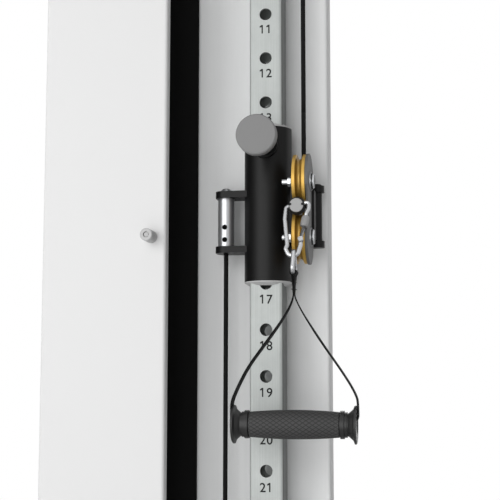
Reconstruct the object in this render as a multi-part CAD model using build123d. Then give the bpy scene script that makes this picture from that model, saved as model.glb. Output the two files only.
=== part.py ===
from build123d import *
import math
import os

# Wall pulley with an enclosed weight stack. The part hangs on a wall: the wall
# plane is Y = 0, the user stands on the -Y side, Z is up and X = 0 is the
# centre line of the slide rail. Z = 0 is the lower row of wall bolts. All
# lengths are in millimetres.

# Tower
TOWER_BOTTOM = -60.0
TOWER_TOP = 2140.0
TOWER_RIGHT = 70.4
BACK_SHEET = 3.0
BACK_FLANGE = 20.0
SHEET = 2.0
BEND = 3.0
BOLT_X = -90.0
BOLT_PITCH_X = 280.0
BOLT_END = 60.0
BOLT_HOLE_R = 4.5

# Stack cover, slot and rail panel
COVER_FRONT = -138.0
COVER_EDGE = -110.9
COVER_RETURN = 13.0
PANEL_FRONT = -38.0
PANEL_LEFT = -94.8
LOW_SHELF = 150.0
HEAD_H = 155.0
HEAD_WEB_GAP = 30.0
BASE_WEB_GAP = 12.0
SHELF_T = 3.0
WEB_Y = -53.0
CAP_WALL = 2.5
CAP_FRONT = -106.0
CAP_ROUND = 6.0

# Slide rail
RAIL_W = 40.0
RAIL_WALL = 3.0
RAIL_ROUND = 4.5
RAIL_FRONT = -90.0
HOLE_D = 15.0
PITCH = 55.0
HOLE_END = 25.0
PIN_HOLE = 14
STANDOFF_H = 38.0

# Carriage sleeve
SLEEVE_R = 28.75
SLEEVE_WALL = 2.0
SLEEVE_UP = 24.5
SLEEVE_DOWN = 162.2
CAP_H = 5.0
CAP_SLOPE = 7.0
GLIDE_PLAY = 0.2

# Pull pin
KNOB_R = 23.5
KNOB_T = 17.0
KNOB_FACE = 75.0
PLUNGER_R = 7.0
PLUNGER_PLAY = 0.1
PLUNGER_TIP_GAP = 0.3
PLUNGER_STROKE = 13.0
HOUSING_R = 12.5

# Left bracket and rope anchor
ROPE_D = 5.2
ROPE_LEFT_X = -52.0
ARM_T = 8.0
LEFT_ARM_TOP = -51.5
LEFT_ARM_LOW = -118.7
LEFT_ARM_HALF = 16.0
LEFT_ARM_END = 12.0
ANCHOR_R = 10.0
DOME_R = 7.35
DOME_H = 5.1

# Right bracket and swivel
SWIVEL_X = 59.5
SWIVEL_BACK = 25.0
RIGHT_ARM_HALF = 8.5
RIGHT_ARM_TOP = -45.5
RIGHT_ARM_LOW = -112.8
BARREL_R = 5.6
SWIVEL_PIN_R = 3.0
SWIVEL_PLAY = 0.08
ARM_GAP = 0.3

# Pulley block
BLOCK_X = 45.0
WHEEL_FRONT = 20.0
WHEEL_ROPE_R = 29.1
WHEEL_RIM_R = 31.5
WHEEL_W = 15.0
WHEEL_TOP_Z = -47.0
WHEEL_PITCH = 66.0
PLATE_T = 3.0
PLATE_GAP = 16.0
PLATE_R = 32.5
NOTCH_R = 30.0
WAIST_CORNER_R = 8.0
BUSH_R = 6.0
BOLT_R = 3.0
RUN_PLAY = 0.08
GROOVE_PLAY = 0.3

# Ball stop
BALL_R = 10.6
BALL_X = 43.5
BALL_FACE_R = 8.3
BALL_GAP = 0.35
BALL_EYE_R = 4.75

# Carabiner
WIRE_R = 2.1
HOOK_Y = 47.6
HOOK_Z = -78.8
HOOK_BOTTOM = -139.4
LEAN = 19.2
GATE_SLEEVE_R = 4.3
KNUCKLE_X = 49.4
KNUCKLE_Z = -120.9
GATE_TOP_X = 54.6
GATE_TOP_Z = -93.5
GATE_SLEEVE_L = 13.0
GATE_GAP = 0.7
GATE_WIRE_R = 1.7
NOSE_Z = -89.0
BOW_X = 57.0
BOW_Z = -84.5
TOP_RIGHT_X = 57.3
TOP_RIGHT_Z = -75.6
TOP_LEFT_X = 31.2
TOP_LEFT_Z = -81.6
BACK_X = 30.2
BACK_HIGH_Z = -96.0
BACK_LOW_X = 34.4
BACK_LOW_Z = -127.0
HEEL_X = 32.6
HEEL_Z = -131.5
FOOT_LEFT_X = 36.5
FOOT_RIGHT_X = 46.4
KNEE_X = 49.6
KNEE_Z = -127.4
TIGHT_BEND = 3.4
HOOK_BEND = 5.0
BACK_BEND = 20.0

# Handle
LINK_R = 2.3
LINK_HALF = 17.0
LINK_BEND = 4.6
LINK_BOTTOM = -159.0
HANDLE_X = 42.4
HANDLE_Z = -328.0
WEB_W = 18.0
WEB_T = 1.5
FORK_Z = -190.0
FORK_RISE = 8.0
BOW_END = 21.0
LEFT_BOW = ((0.18, 0.19), (0.475, 0.43), (0.735, 0.64), (0.885, 0.81), (0.98, 0.94))
RIGHT_BOW = ((0.40, 0.38), (0.79, 0.71), (0.98, 0.91))
GRIP_L = 100.0
GRIP_R = 16.15
GRIP_END_R = 14.0
CORE_R = 12.0
CORE_BORE_R = 10.5
FLANGE_R = 21.3
RIM_T = 2.4
NECK_R = 13.6
HANDLE_L = 138.4

# Weight stack
STACK_GAP = 7.1
RETURN_GAP = 8.0
SIDE_GAP = 12.0
PLATE_W = 124.0
PLATE_D = 100.0
PLATE_H = 28.0
PLATES = 14
LIFTED = 5
ROD_R = 7.0
ROD_OFFSET = 36.0
ROD_PLAY = 0.6
STEM_R = 12.0
STEM_PLAY = 1.0
BUFFER_R = 14.0
BUFFER_H = 25.0
SELECT_R = 4.5
SELECT_PLAY = 1.0
SELECT_REACH = 10.0
SELECT_KNOB_R = 9.0
SELECT_KNOB_L = 14.0

# Head and base pulleys
PULLEY_ROPE_R = 26.0
PULLEY_W = 12.0
PULLEY_RIM = 3.6
AXLE_R = 5.0
HEAD_PULLEY_RISE = 60.0
BASE_PULLEY_Z = 22.0
FLOAT_RISE = 52.0
FLOAT_CHEEK = 3.0
ROPE_HOLE_R = 7.0

# Accessory peg
PEG_X = -128.6
PEG_DROP = 112.5
PEG_R = 7.35
PEG_L = 24.6

# Places worked out from the sizes above
HIGH_SHELF = TOWER_TOP - HEAD_H
BOLT_LOW_Z = TOWER_BOTTOM + BOLT_END
BOLT_HIGH_Z = TOWER_TOP - BOLT_END
HEAD_PULLEY_Z = HIGH_SHELF + HEAD_PULLEY_RISE
FIRST_HOLE_Z = HIGH_SHELF - HOLE_END
HOLES = int((FIRST_HOLE_Z - HOLE_END - LOW_SHELF - SHELF_T) // PITCH) + 1
PIN_Z = FIRST_HOLE_Z - (PIN_HOLE - 1) * PITCH
STACK_X = COVER_EDGE - STACK_GAP - PLATE_W / 2
RAIL_AXIS = RAIL_FRONT + RAIL_W / 2
SLEEVE_IN_R = SLEEVE_R - SLEEVE_WALL
WHEEL_Y = RAIL_FRONT - WHEEL_FRONT
UPPER_Z = PIN_Z + WHEEL_TOP_Z
LOWER_Z = UPPER_Z - WHEEL_PITCH
ROPE_R = ROPE_D / 2
ROPE_Y = WHEEL_Y + WHEEL_ROPE_R
SWIVEL_Y = RAIL_FRONT + SWIVEL_BACK
BALL_Z = (UPPER_Z + LOWER_Z) / 2
BALL_REACH = WHEEL_RIM_R + BALL_R + BALL_GAP
BALL_Y = WHEEL_Y - math.sqrt(BALL_REACH ** 2 - (WHEEL_PITCH / 2) ** 2)
BALL_FLAT = math.sqrt(BALL_R ** 2 - BALL_FACE_R ** 2)
EYE_Y = RAIL_FRONT - HOOK_Y
EYE_Z = PIN_Z + HOOK_Z
LEAN_SIN = math.sin(math.radians(LEAN))
LEAN_COS = math.cos(math.radians(LEAN))
HOOK_PLANE = Plane(origin=(0, EYE_Y, EYE_Z), x_dir=(1, 0, 0), z_dir=(0, -LEAN_COS, LEAN_SIN))
LINK_Y = EYE_Y + (HOOK_BOTTOM - HOOK_Z) * LEAN_SIN / LEAN_COS
STACK_BOTTOM = LOW_SHELF + SHELF_T + BUFFER_H
STACK_TOP = STACK_BOTTOM + PLATES * PLATE_H
FLOAT_Z = STACK_TOP + FLOAT_RISE
STRAND_RIGHT = STACK_X + PULLEY_ROPE_R
STRAND_LEFT = STACK_X - PULLEY_ROPE_R
RETURN_X = STACK_X - PLATE_W / 2 - RETURN_GAP
TURN_ROPE_R = (STRAND_LEFT - RETURN_X) / 2
TOWER_LEFT = RETURN_X - SIDE_GAP


def block(x0, x1, y0, y1, z0, z1):
    """A straight-sided solid between two corners."""
    box = Box(x1 - x0, y1 - y0, z1 - z0, align=(Align.MIN, Align.MIN, Align.MIN))
    return Pos(x0, y0, z0) * box


def rod(radius, start, end):
    """A round bar from one point to another."""
    a = Vector(*start)
    b = Vector(*end)
    base = Plane(origin=a, z_dir=b - a)
    return base * extrude(Circle(radius), (b - a).length)


def rod_z(x, y, radius, z0, z1):
    return rod(radius, (x, y, z0), (x, y, z1))


def rod_y(x, z, radius, y0, y1):
    return rod(radius, (x, y0, z), (x, y1, z))


def rod_x(y, z, radius, x0, x1):
    return rod(radius, (x0, y, z), (x1, y, z))


def bent_sheet(points, thickness, bend, z0, z1):
    """Folded sheet metal: the middle line of the section, drawn upwards."""
    line = FilletPolyline(*points, radius=bend)
    return Pos(0, 0, z0) * extrude(trace(line, thickness), z1 - z0)


def turned(points):
    """A solid turned about the Z axis from (radius, height) points."""
    return revolve(Plane.XZ * make_face(Polyline(*points, close=True)), Axis.Z)


def grooved_wheel(rope_r, rim_r, width, bore_r):
    """A rope wheel about the Z axis: round groove, flared lips, thin web."""
    groove = ROPE_R + GROOVE_PLAY
    lip = rim_r - rope_r
    half = width / 2
    hub = bore_r + 4
    web_end = rope_r - groove - 3
    body = Pos((rim_r + bore_r) / 2, 0) * Rectangle(rim_r - bore_r, width)
    body -= Pos(rope_r, 0) * Circle(groove)
    flare = groove + lip * 0.7
    body -= make_face(Polyline(
        (rope_r, -groove), (rope_r, groove), (rim_r + 1, flare), (rim_r + 1, -flare), close=True))
    if web_end > hub + 2:
        for side in (-1, 1):
            recess = Rectangle(web_end - hub, 2.5)
            body -= Pos((web_end + hub) / 2, side * (half - 1.25)) * recess
    return revolve(Plane.XZ * body, Axis.Z)


def wheel_on_x(x, y, z, wheel):
    return Pos(x, y, z) * Rot(0, 90, 0) * wheel


def wheel_on_y(x, y, z, wheel):
    return Pos(x, y, z) * Rot(90, 0, 0) * wheel


def rope_along(path, start, direction):
    """The rope swept along straight runs and arcs."""
    return sweep(Plane(origin=start, z_dir=direction) * Circle(ROPE_R), path)


# Tower

def back_plate():
    x0 = TOWER_LEFT + SHEET
    x1 = TOWER_RIGHT - SHEET
    plate = block(x0, x1, -BACK_SHEET, 0, TOWER_BOTTOM, TOWER_TOP)
    plate += block(x0, x0 + BACK_SHEET, -BACK_FLANGE - BACK_SHEET, 0, TOWER_BOTTOM, TOWER_TOP)
    plate += block(x1 - BACK_SHEET, x1, -BACK_FLANGE - BACK_SHEET, 0, TOWER_BOTTOM, TOWER_TOP)
    for side in (-1, 1):
        for z in (BOLT_LOW_Z, BOLT_HIGH_Z):
            x = BOLT_X + side * BOLT_PITCH_X / 2
            plate -= rod_y(x, z, BOLT_HOLE_R, -BACK_SHEET - 1, 1)
    return plate


def stack_liner():
    x0 = TOWER_LEFT + SHEET + BACK_SHEET + 0.5
    x1 = PANEL_LEFT - 0.5
    z0 = LOW_SHELF + SHELF_T
    return block(x0, x1, -BACK_SHEET - SHEET, -BACK_SHEET, z0, HIGH_SHELF)


def stack_cover():
    half = SHEET / 2
    points = (
        (TOWER_LEFT + half, 0),
        (TOWER_LEFT + half, COVER_FRONT + half),
        (COVER_EDGE - half, COVER_FRONT + half),
        (COVER_EDGE - half, COVER_FRONT + COVER_RETURN),
    )
    return bent_sheet(points, SHEET, BEND, LOW_SHELF, HIGH_SHELF + SHELF_T)


def rail_panel():
    half = SHEET / 2
    points = (
        (PANEL_LEFT + half, -BACK_SHEET),
        (PANEL_LEFT + half, PANEL_FRONT + half),
        (TOWER_RIGHT - half, PANEL_FRONT + half),
        (TOWER_RIGHT - half, 0),
    )
    return bent_sheet(points, SHEET, BEND, LOW_SHELF + SHELF_T, HIGH_SHELF)


def shelf(z):
    """A cross plate that fits inside the covers, full depth at the stack."""
    x0 = TOWER_LEFT + SHEET + BACK_SHEET + 1
    x1 = TOWER_RIGHT - SHEET - BACK_SHEET - 1
    split = COVER_EDGE - SHEET - 2
    deep = COVER_FRONT + SHEET + 2
    plate = block(x0, split, deep, -BACK_SHEET, z, z + SHELF_T)
    plate += block(split, x1, CAP_FRONT + CAP_WALL + 1, -BACK_SHEET, z, z + SHELF_T)
    for side in (-1, 1):
        plate -= rod_z(STACK_X, ROPE_Y + side * ROD_OFFSET, ROD_R, z - 1, z + SHELF_T + 1)
    return plate


def frame_web(z0, z1, flange_z):
    """The upright web that carries the axles, with a flange back to the wall."""
    x0 = TOWER_LEFT + SHEET + BACK_SHEET + 1
    x1 = TOWER_RIGHT - SHEET - BACK_SHEET - 1
    web = block(x0, x1, WEB_Y - SHELF_T, WEB_Y, z0, z1)
    return web + block(x0, x1, WEB_Y - SHELF_T, -BACK_SHEET, flange_z, flange_z + SHELF_T)


def head_frame():
    top = TOWER_TOP - HEAD_WEB_GAP
    frame = shelf(HIGH_SHELF) + frame_web(HIGH_SHELF, top, top - SHELF_T)
    for x in (BLOCK_X, STRAND_RIGHT, STRAND_LEFT, RETURN_X):
        frame -= rod_z(x, ROPE_Y, ROPE_HOLE_R, HIGH_SHELF - 1, HIGH_SHELF + SHELF_T + 1)
    for x in head_axle_places():
        frame -= rod_y(x, HEAD_PULLEY_Z, AXLE_R, WEB_Y - SHELF_T - 1, WEB_Y + 1)
    return frame


def base_frame():
    low = TOWER_BOTTOM + BASE_WEB_GAP
    frame = shelf(LOW_SHELF) + frame_web(low, LOW_SHELF + SHELF_T, low)
    for x in (RETURN_X, ROPE_LEFT_X):
        frame -= rod_z(x, ROPE_Y, ROPE_HOLE_R, LOW_SHELF - 1, LOW_SHELF + SHELF_T + 1)
    for x in base_axle_places():
        frame -= rod_y(x, BASE_PULLEY_Z, AXLE_R, WEB_Y - SHELF_T - 1, WEB_Y + 1)
    return frame


def cap_outline(grow):
    """The stepped plan of the head and base covers, shrunk by a wall."""
    x0 = TOWER_LEFT + grow
    x1 = TOWER_RIGHT - grow
    split = COVER_EDGE - grow
    front = COVER_FRONT + grow
    step = CAP_FRONT + grow
    face = make_face(Polyline(
        (x0, 0), (x0, front), (split, front), (split, step), (x1, step), (x1, 0), close=True))
    corners = [v for v in face.vertices() if v.Y < step + 1 and not (v.X < split + 1 and v.Y > front + 1)]
    return fillet(corners, max(CAP_ROUND - grow, 1.0))


def end_cover(z0, z1, plate_z):
    """A cover of even wall with one closed end at plate_z."""
    shell = extrude(cap_outline(0), z1 - z0) - extrude(cap_outline(CAP_WALL), z1 - z0)
    plate = Pos(0, 0, plate_z - z0) * extrude(cap_outline(0), CAP_WALL)
    cover = Pos(0, 0, z0) * (shell + plate)
    keep = block(TOWER_LEFT - 1, TOWER_RIGHT + 1, COVER_FRONT - 1, -BACK_SHEET, z0 - 1, z1 + 1)
    x0 = TOWER_LEFT + SHEET
    x1 = TOWER_RIGHT - SHEET
    flanges = block(x0, x0 + BACK_SHEET, -BACK_FLANGE - BACK_SHEET, 0, z0 - 1, z1 + 1)
    flanges += block(x1 - BACK_SHEET, x1, -BACK_FLANGE - BACK_SHEET, 0, z0 - 1, z1 + 1)
    return (cover & keep) - flanges


def head_cover():
    return end_cover(HIGH_SHELF + SHELF_T, TOWER_TOP, TOWER_TOP - CAP_WALL)


def base_cover():
    return end_cover(TOWER_BOTTOM, LOW_SHELF, TOWER_BOTTOM)


# Rail

def slide_rail():
    z0 = LOW_SHELF + SHELF_T
    outside = RectangleRounded(RAIL_W, RAIL_W, RAIL_ROUND)
    inside = RectangleRounded(RAIL_W - 2 * RAIL_WALL, RAIL_W - 2 * RAIL_WALL, RAIL_ROUND - 2)
    tube = Pos(0, RAIL_AXIS, z0) * extrude(outside - inside, HIGH_SHELF - z0)
    holes = Sketch() + [
        Pos(0, FIRST_HOLE_Z - n * PITCH) * Circle(HOLE_D / 2) for n in range(HOLES)]
    row = Plane.XZ.offset(1 - RAIL_FRONT) * holes
    return tube - extrude(row, RAIL_W + 2, dir=(0, 1, 0))


def rail_standoffs():
    y0 = RAIL_FRONT + RAIL_W
    half = RAIL_W / 2 - 4
    low = LOW_SHELF + SHELF_T
    parts = block(-half, half, y0, PANEL_FRONT, low, low + STANDOFF_H)
    return parts + block(-half, half, y0, PANEL_FRONT, HIGH_SHELF - STANDOFF_H, HIGH_SHELF)


# Carriage

def rail_gap(z0, z1, play):
    """The square space that a piece leaves round the rail."""
    face = RectangleRounded(RAIL_W + 2 * play, RAIL_W + 2 * play, RAIL_ROUND)
    return Pos(0, RAIL_AXIS, z0) * extrude(face, z1 - z0)


def sleeve_z():
    return PIN_Z - SLEEVE_DOWN, PIN_Z + SLEEVE_UP


def carriage_sleeve():
    z0, z1 = sleeve_z()
    tube = rod_z(0, RAIL_AXIS, SLEEVE_R, z0, z1) - rod_z(0, RAIL_AXIS, SLEEVE_IN_R, z0 - 1, z1 + 1)
    return tube - rod_y(0, PIN_Z, PLUNGER_R + PLUNGER_PLAY, RAIL_AXIS - SLEEVE_R - 1, RAIL_AXIS)


def sleeve_caps():
    """Two end caps: a thin band, then a slope towards the rail."""
    z0, z1 = sleeve_z()
    band = 1.2
    shape = turned((
        (0, 0), (SLEEVE_R, 0), (SLEEVE_R, band), (SLEEVE_R - CAP_SLOPE, CAP_H), (0, CAP_H)))
    top = Pos(0, RAIL_AXIS, z1) * shape
    low = Pos(0, RAIL_AXIS, z0) * Rot(180, 0, 0) * shape
    space = rail_gap(z0 - CAP_H - 1, z1 + CAP_H + 1, GLIDE_PLAY)
    return (top - space) + (low - space)


def glide_pads():
    """Four strips that fill the sleeve on the flats of the rail."""
    z0, z1 = sleeve_z()
    core = rod_z(0, RAIL_AXIS, SLEEVE_IN_R, z0, z1)
    core -= rail_gap(z0 - 1, z1 + 1, GLIDE_PLAY)
    width = RAIL_W - 2 * RAIL_ROUND - 2
    side = block(-SLEEVE_R, SLEEVE_R, RAIL_AXIS - width / 2, RAIL_AXIS + width / 2, z0, z1)
    ahead = block(-width / 2, width / 2, RAIL_AXIS - SLEEVE_R, RAIL_AXIS + SLEEVE_R, z0, z1)
    pads = core & (side + ahead)
    return pads - rod_y(0, PIN_Z, PLUNGER_R + PLUNGER_PLAY, RAIL_AXIS - SLEEVE_R, RAIL_AXIS)


def plunger_housing():
    """The boss on the sleeve that guides the pull pin."""
    y0 = RAIL_FRONT - KNOB_FACE + KNOB_T + PLUNGER_STROKE + 1.0
    body = rod_y(0, PIN_Z, HOUSING_R, y0, RAIL_AXIS)
    body += rod_y(0, PIN_Z, HOUSING_R + 3, RAIL_AXIS - SLEEVE_R - 5, RAIL_AXIS)
    body -= rod_y(0, PIN_Z, PLUNGER_R + PLUNGER_PLAY, y0 - 1, RAIL_AXIS + 1)
    return body - rod_z(0, RAIL_AXIS, SLEEVE_R, PIN_Z - 40, PIN_Z + 40)


def knob_front():
    return RAIL_FRONT - KNOB_FACE


def pull_knob():
    """A broad flat knob with a softened front edge and a drawn-in back."""
    bevel = 1.4
    shape = turned((
        (0, 0), (KNOB_R - bevel, 0), (KNOB_R, bevel), (KNOB_R, KNOB_T - 6),
        (KNOB_R - 3, KNOB_T - 2), (KNOB_R - 9, KNOB_T), (0, KNOB_T)))
    knob = Pos(0, knob_front(), PIN_Z) * Rot(-90, 0, 0) * shape
    seat = knob_front() + KNOB_T - 8
    return knob - rod_y(0, PIN_Z, PLUNGER_R, seat, RAIL_AXIS)


def plunger_pin():
    tip = RAIL_FRONT - PLUNGER_TIP_GAP
    seat = knob_front() + KNOB_T - 8
    pin = rod_y(0, PIN_Z, PLUNGER_R, seat, tip)
    return chamfer(pin.edges().sort_by(Axis.Y)[-1], 1.0)


def arm(x_end, y_mid, half, end_r, z0, thickness):
    """A flat arm from the sleeve to a round end."""
    reach = abs(x_end) - end_r
    side = 1 if x_end > 0 else -1
    face = Pos(side * reach / 2, y_mid) * Rectangle(reach, 2 * half)
    if end_r < half:
        face += Pos(side * (reach + end_r / 2), y_mid) * Rectangle(end_r, 2 * half)
        tips = [v for v in face.vertices() if abs(v.X) > abs(x_end) - 0.01]
        face = fillet(tips, end_r - 0.01)
    else:
        face += Pos(side * reach, y_mid) * Circle(half)
    plate = Pos(0, 0, z0) * extrude(face, thickness)
    return plate - rod_z(0, RAIL_AXIS, SLEEVE_R, z0 - 1, z0 + thickness + 1)


def left_arm_levels():
    return PIN_Z + LEFT_ARM_TOP - ARM_T, PIN_Z + LEFT_ARM_LOW - ARM_T


def left_bracket():
    high, low = left_arm_levels()
    end = ROPE_LEFT_X - LEFT_ARM_END
    arms = arm(end, RAIL_AXIS, LEFT_ARM_HALF, LEFT_ARM_END, high, ARM_T)
    arms += arm(end, RAIL_AXIS, LEFT_ARM_HALF, LEFT_ARM_END, low, ARM_T)
    arms -= rod_z(ROPE_LEFT_X, RAIL_AXIS, ROPE_R + 1, low - 1, low + ARM_T + 1)
    return arms - rod_z(ROPE_LEFT_X, RAIL_AXIS, BOLT_R, high - 1, high + ARM_T + 1)


def rope_anchor():
    """The clamp cylinder between the arms that grips the rope's end."""
    high, low = left_arm_levels()
    body = rod_z(ROPE_LEFT_X, RAIL_AXIS, ANCHOR_R, low + ARM_T, high)
    body -= rod_z(ROPE_LEFT_X, RAIL_AXIS, ROPE_R, low, low + ARM_T + 34)
    body -= rod_z(ROPE_LEFT_X, RAIL_AXIS, BOLT_R, high - 14, high + 1)
    for z in anchor_screw_levels():
        body -= rod_y(ROPE_LEFT_X, z, 2.8, RAIL_AXIS - ANCHOR_R - 1, RAIL_AXIS - ROPE_R)
    return body


def anchor_screw_levels():
    return PIN_Z - 95.1, PIN_Z - 110.3


def anchor_fasteners():
    """The domed bolt in the upper arm and two set screws on the rope."""
    high, low = left_arm_levels()
    top = high + ARM_T
    parts = rod_z(ROPE_LEFT_X, RAIL_AXIS, BOLT_R, high - 14, top)
    dome = turned(((0, 0), (DOME_R, 0), (DOME_R, 1.4), (DOME_R - 2.2, DOME_H - 1), (2.5, DOME_H), (0, DOME_H)))
    parts += Pos(ROPE_LEFT_X, RAIL_AXIS, top) * dome
    for z in anchor_screw_levels():
        screw = rod_y(ROPE_LEFT_X, z, 2.8, RAIL_AXIS - ANCHOR_R - 0.4, RAIL_AXIS - ROPE_R)
        parts += screw - rod_y(ROPE_LEFT_X, z, 1.3, RAIL_AXIS - ANCHOR_R - 1, RAIL_AXIS - ANCHOR_R + 2)
    return parts


def right_arm_levels():
    return PIN_Z + RIGHT_ARM_TOP - ARM_T, PIN_Z + RIGHT_ARM_LOW - ARM_T


def right_bracket():
    high, low = right_arm_levels()
    end = SWIVEL_X + RIGHT_ARM_HALF
    arms = arm(end, SWIVEL_Y, RIGHT_ARM_HALF, RIGHT_ARM_HALF, high, ARM_T)
    arms += arm(end, SWIVEL_Y, RIGHT_ARM_HALF, RIGHT_ARM_HALF, low, ARM_T)
    return arms - rod_z(SWIVEL_X, SWIVEL_Y, SWIVEL_PIN_R, low - 1, high + ARM_T + 1)


def swivel_pin():
    high, low = right_arm_levels()
    pin = rod_z(SWIVEL_X, SWIVEL_Y, SWIVEL_PIN_R, low, high + ARM_T)
    head = turned(((0, 0), (5.5, 0), (5.5, 1.2), (3.5, 2.4), (0, 2.4)))
    return pin + Pos(SWIVEL_X, SWIVEL_Y, high + ARM_T) * head


# Pulley block

def plate_faces():
    """Where the two side plates start, from the sleeve outwards."""
    inner = PLATE_GAP / 2
    return BLOCK_X - inner - PLATE_T, BLOCK_X + inner


def side_plates():
    """Two long plates with round ends and a waist that seats the ball."""
    mid_z = (UPPER_Z + LOWER_Z) / 2
    face = Pos(WHEEL_Y, mid_z) * Rot(0, 0, 90) * SlotCenterToCenter(WHEEL_PITCH, 2 * PLATE_R)
    depth = BALL_Y + math.sqrt(BALL_R ** 2 - (BLOCK_X - BALL_X - PLATE_GAP / 2) ** 2) + BALL_GAP
    face -= Pos(depth - NOTCH_R, mid_z) * Circle(NOTCH_R)
    front = WHEEL_Y - PLATE_R + 1
    corners = [v for v in face.vertices() if v.X < front and abs(v.Y - mid_z) < WHEEL_PITCH / 2 - 1]
    face = fillet(corners, WAIST_CORNER_R)
    for z in (UPPER_Z, LOWER_Z):
        face -= Pos(WHEEL_Y, z) * Circle(BOLT_R)
    plates = Part()
    for x in plate_faces():
        plates += Pos(x, 0, 0) * extrude(Plane.YZ * face, PLATE_T)
    return plates


def swivel_barrel():
    """The hinge tube with the lug that is welded to the right plate."""
    high, low = right_arm_levels()
    z0 = low + ARM_T + ARM_GAP
    z1 = high - ARM_GAP
    outer = plate_faces()[1] + PLATE_T
    tube = rod_z(SWIVEL_X, SWIVEL_Y, BARREL_R, z0, z1)
    lug = block(outer, outer + 3, WHEEL_Y + 14, SWIVEL_Y, z0 + 1, z1 - 1)
    body = tube + lug
    return body - rod_z(SWIVEL_X, SWIVEL_Y, SWIVEL_PIN_R + SWIVEL_PLAY, z0 - 1, z1 + 1)


def wheel_fasteners():
    """Two axle bolts with large washers, round heads and hexagon nuts."""
    left, right = plate_faces()
    outer = right + PLATE_T
    parts = []
    for z in (UPPER_Z, LOWER_Z):
        bolt = rod_x(WHEEL_Y, z, BOLT_R, left - 11.3, outer + 1.5)
        head = Rot(0, 90, 0) * turned(((0, 0), (9, 0), (9, 2.2), (7.5, 3.6), (0, 3.6)))
        bolt += Pos(outer + 1.5, WHEEL_Y, z) * head
        washer = rod_x(WHEEL_Y, z, 11.1, outer, outer + 1.5)
        washer -= rod_x(WHEEL_Y, z, BOLT_R, outer - 1, outer + 2)
        hexagon = Pos(WHEEL_Y, z) * (RegularPolygon(5.8, 6, rotation=30) - Circle(BOLT_R))
        nut = Pos(left - 4.5, 0, 0) * extrude(Plane.YZ * hexagon, 4.5)
        parts += [bolt, washer, nut]
    return Compound(children=parts)


def wheel_bushes():
    """The spacer tubes that the wheels run on."""
    left, right = plate_faces()
    parts = Part()
    for z in (UPPER_Z, LOWER_Z):
        tube = rod_x(WHEEL_Y, z, BUSH_R, left + PLATE_T, right)
        parts += tube - rod_x(WHEEL_Y, z, BOLT_R, left, right + 1)
    return parts


def block_wheel(z):
    wheel = grooved_wheel(WHEEL_ROPE_R, WHEEL_RIM_R, WHEEL_W, BUSH_R + RUN_PLAY)
    return wheel_on_x(BLOCK_X, WHEEL_Y, z, wheel)


def rope_leave():
    """Where the rope leaves the upper wheel on its way to the ball."""
    dy = BALL_Y - WHEEL_Y
    dz = BALL_Z - UPPER_Z
    far = math.hypot(dy, dz)
    angle = math.atan2(dz, dy) + math.acos(WHEEL_ROPE_R / far)
    y = WHEEL_Y + WHEEL_ROPE_R * math.cos(angle)
    return y, UPPER_Z + WHEEL_ROPE_R * math.sin(angle), angle


def rope_lead():
    """The rope round the back and the bottom of the upper wheel."""
    y, z, angle = rope_leave()
    turn = math.degrees(angle) % 360 - 360
    path = Plane.YZ * CenterArc((WHEEL_Y, UPPER_Z), WHEEL_ROPE_R, 0, turn)
    return Pos(BLOCK_X, 0, 0) * rope_along(path, (0, ROPE_Y, UPPER_Z), (0, 0, -1))


# Ball stop

def ball_stop():
    arc = ThreePointArc((0, BALL_R), (BALL_R, 0), (BALL_FACE_R, -BALL_FLAT))
    side = Polyline((BALL_FACE_R, -BALL_FLAT), (0, -BALL_FLAT), (0, BALL_R))
    shape = revolve(Plane.XZ * make_face([arc, side]), Axis.Z)
    ball = Pos(BALL_X, BALL_Y, BALL_Z) * Rot(-90, 0, 0) * Rot(0, 0, 45) * shape
    ball -= rod_x(EYE_Y, EYE_Z, BALL_EYE_R, BALL_X - 15, BALL_X + 15)
    return ball - rope_end_bar()


def ball_face():
    """The light disc on the front of the ball."""
    flat = BALL_Y - BALL_FLAT
    disc = rod_y(BALL_X, BALL_Z, BALL_FACE_R, flat - 1.2, flat)
    return chamfer(disc.edges().sort_by(Axis.Y)[0], 0.5)


def rope_end_bar():
    """The short straight run of rope from the upper wheel into the ball."""
    y, z, angle = rope_leave()
    start = Vector(BLOCK_X, y, z)
    ball = Vector(BALL_X, BALL_Y, BALL_Z)
    along = (start - ball).normalized()
    stop = ball + along * 6.0
    return rod(ROPE_R, tuple(stop), tuple(start - along * 0.3))


def rope_end():
    return rope_end_bar()


# Carabiner

def hook_point(x, z):
    """A point of the carabiner's leaning plane, from its X and its height."""
    return x, (z - HOOK_Z) / LEAN_COS


def carabiner_body():
    corners = (
        (GATE_TOP_X, GATE_TOP_Z + GATE_GAP),  # the nose, where the gate shuts
        (GATE_TOP_X, NOSE_Z),
        (BOW_X, BOW_Z),  # the bow out to the right
        (TOP_RIGHT_X, TOP_RIGHT_Z),  # over the top, through the eye of the ball
        (TOP_LEFT_X, TOP_LEFT_Z),
        (BACK_X, BACK_HIGH_Z),  # the long straight back
        (BACK_LOW_X, BACK_LOW_Z),
        (HEEL_X, HEEL_Z),  # the small bow above the seat of the link
        (FOOT_LEFT_X, HOOK_BOTTOM),
        (FOOT_RIGHT_X, HOOK_BOTTOM),
        (KNEE_X, KNEE_Z),  # up to the knuckle of the gate
        (KNUCKLE_X, KNUCKLE_Z - 2.6),
    )
    points = [hook_point(x, z) for x, z in corners]
    bends = [HOOK_BEND, HOOK_BEND, TIGHT_BEND, TIGHT_BEND, BACK_BEND]
    bends += [HOOK_BEND, TIGHT_BEND, HOOK_BEND, HOOK_BEND, TIGHT_BEND]
    path = FilletPolyline(*points, radius=bends)
    start = Plane(origin=(*points[0], 0), z_dir=(0, 1, 0))
    wire = sweep(HOOK_PLANE * start * Circle(WIRE_R), HOOK_PLANE * path)
    return wire - knuckle_bar(2.9, 8)


def knuckle_bar(radius, length):
    x, y = hook_point(KNUCKLE_X, KNUCKLE_Z)
    bar = extrude(Circle(radius), length / 2, both=True)
    return HOOK_PLANE * Pos(x, y, 0) * bar


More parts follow.
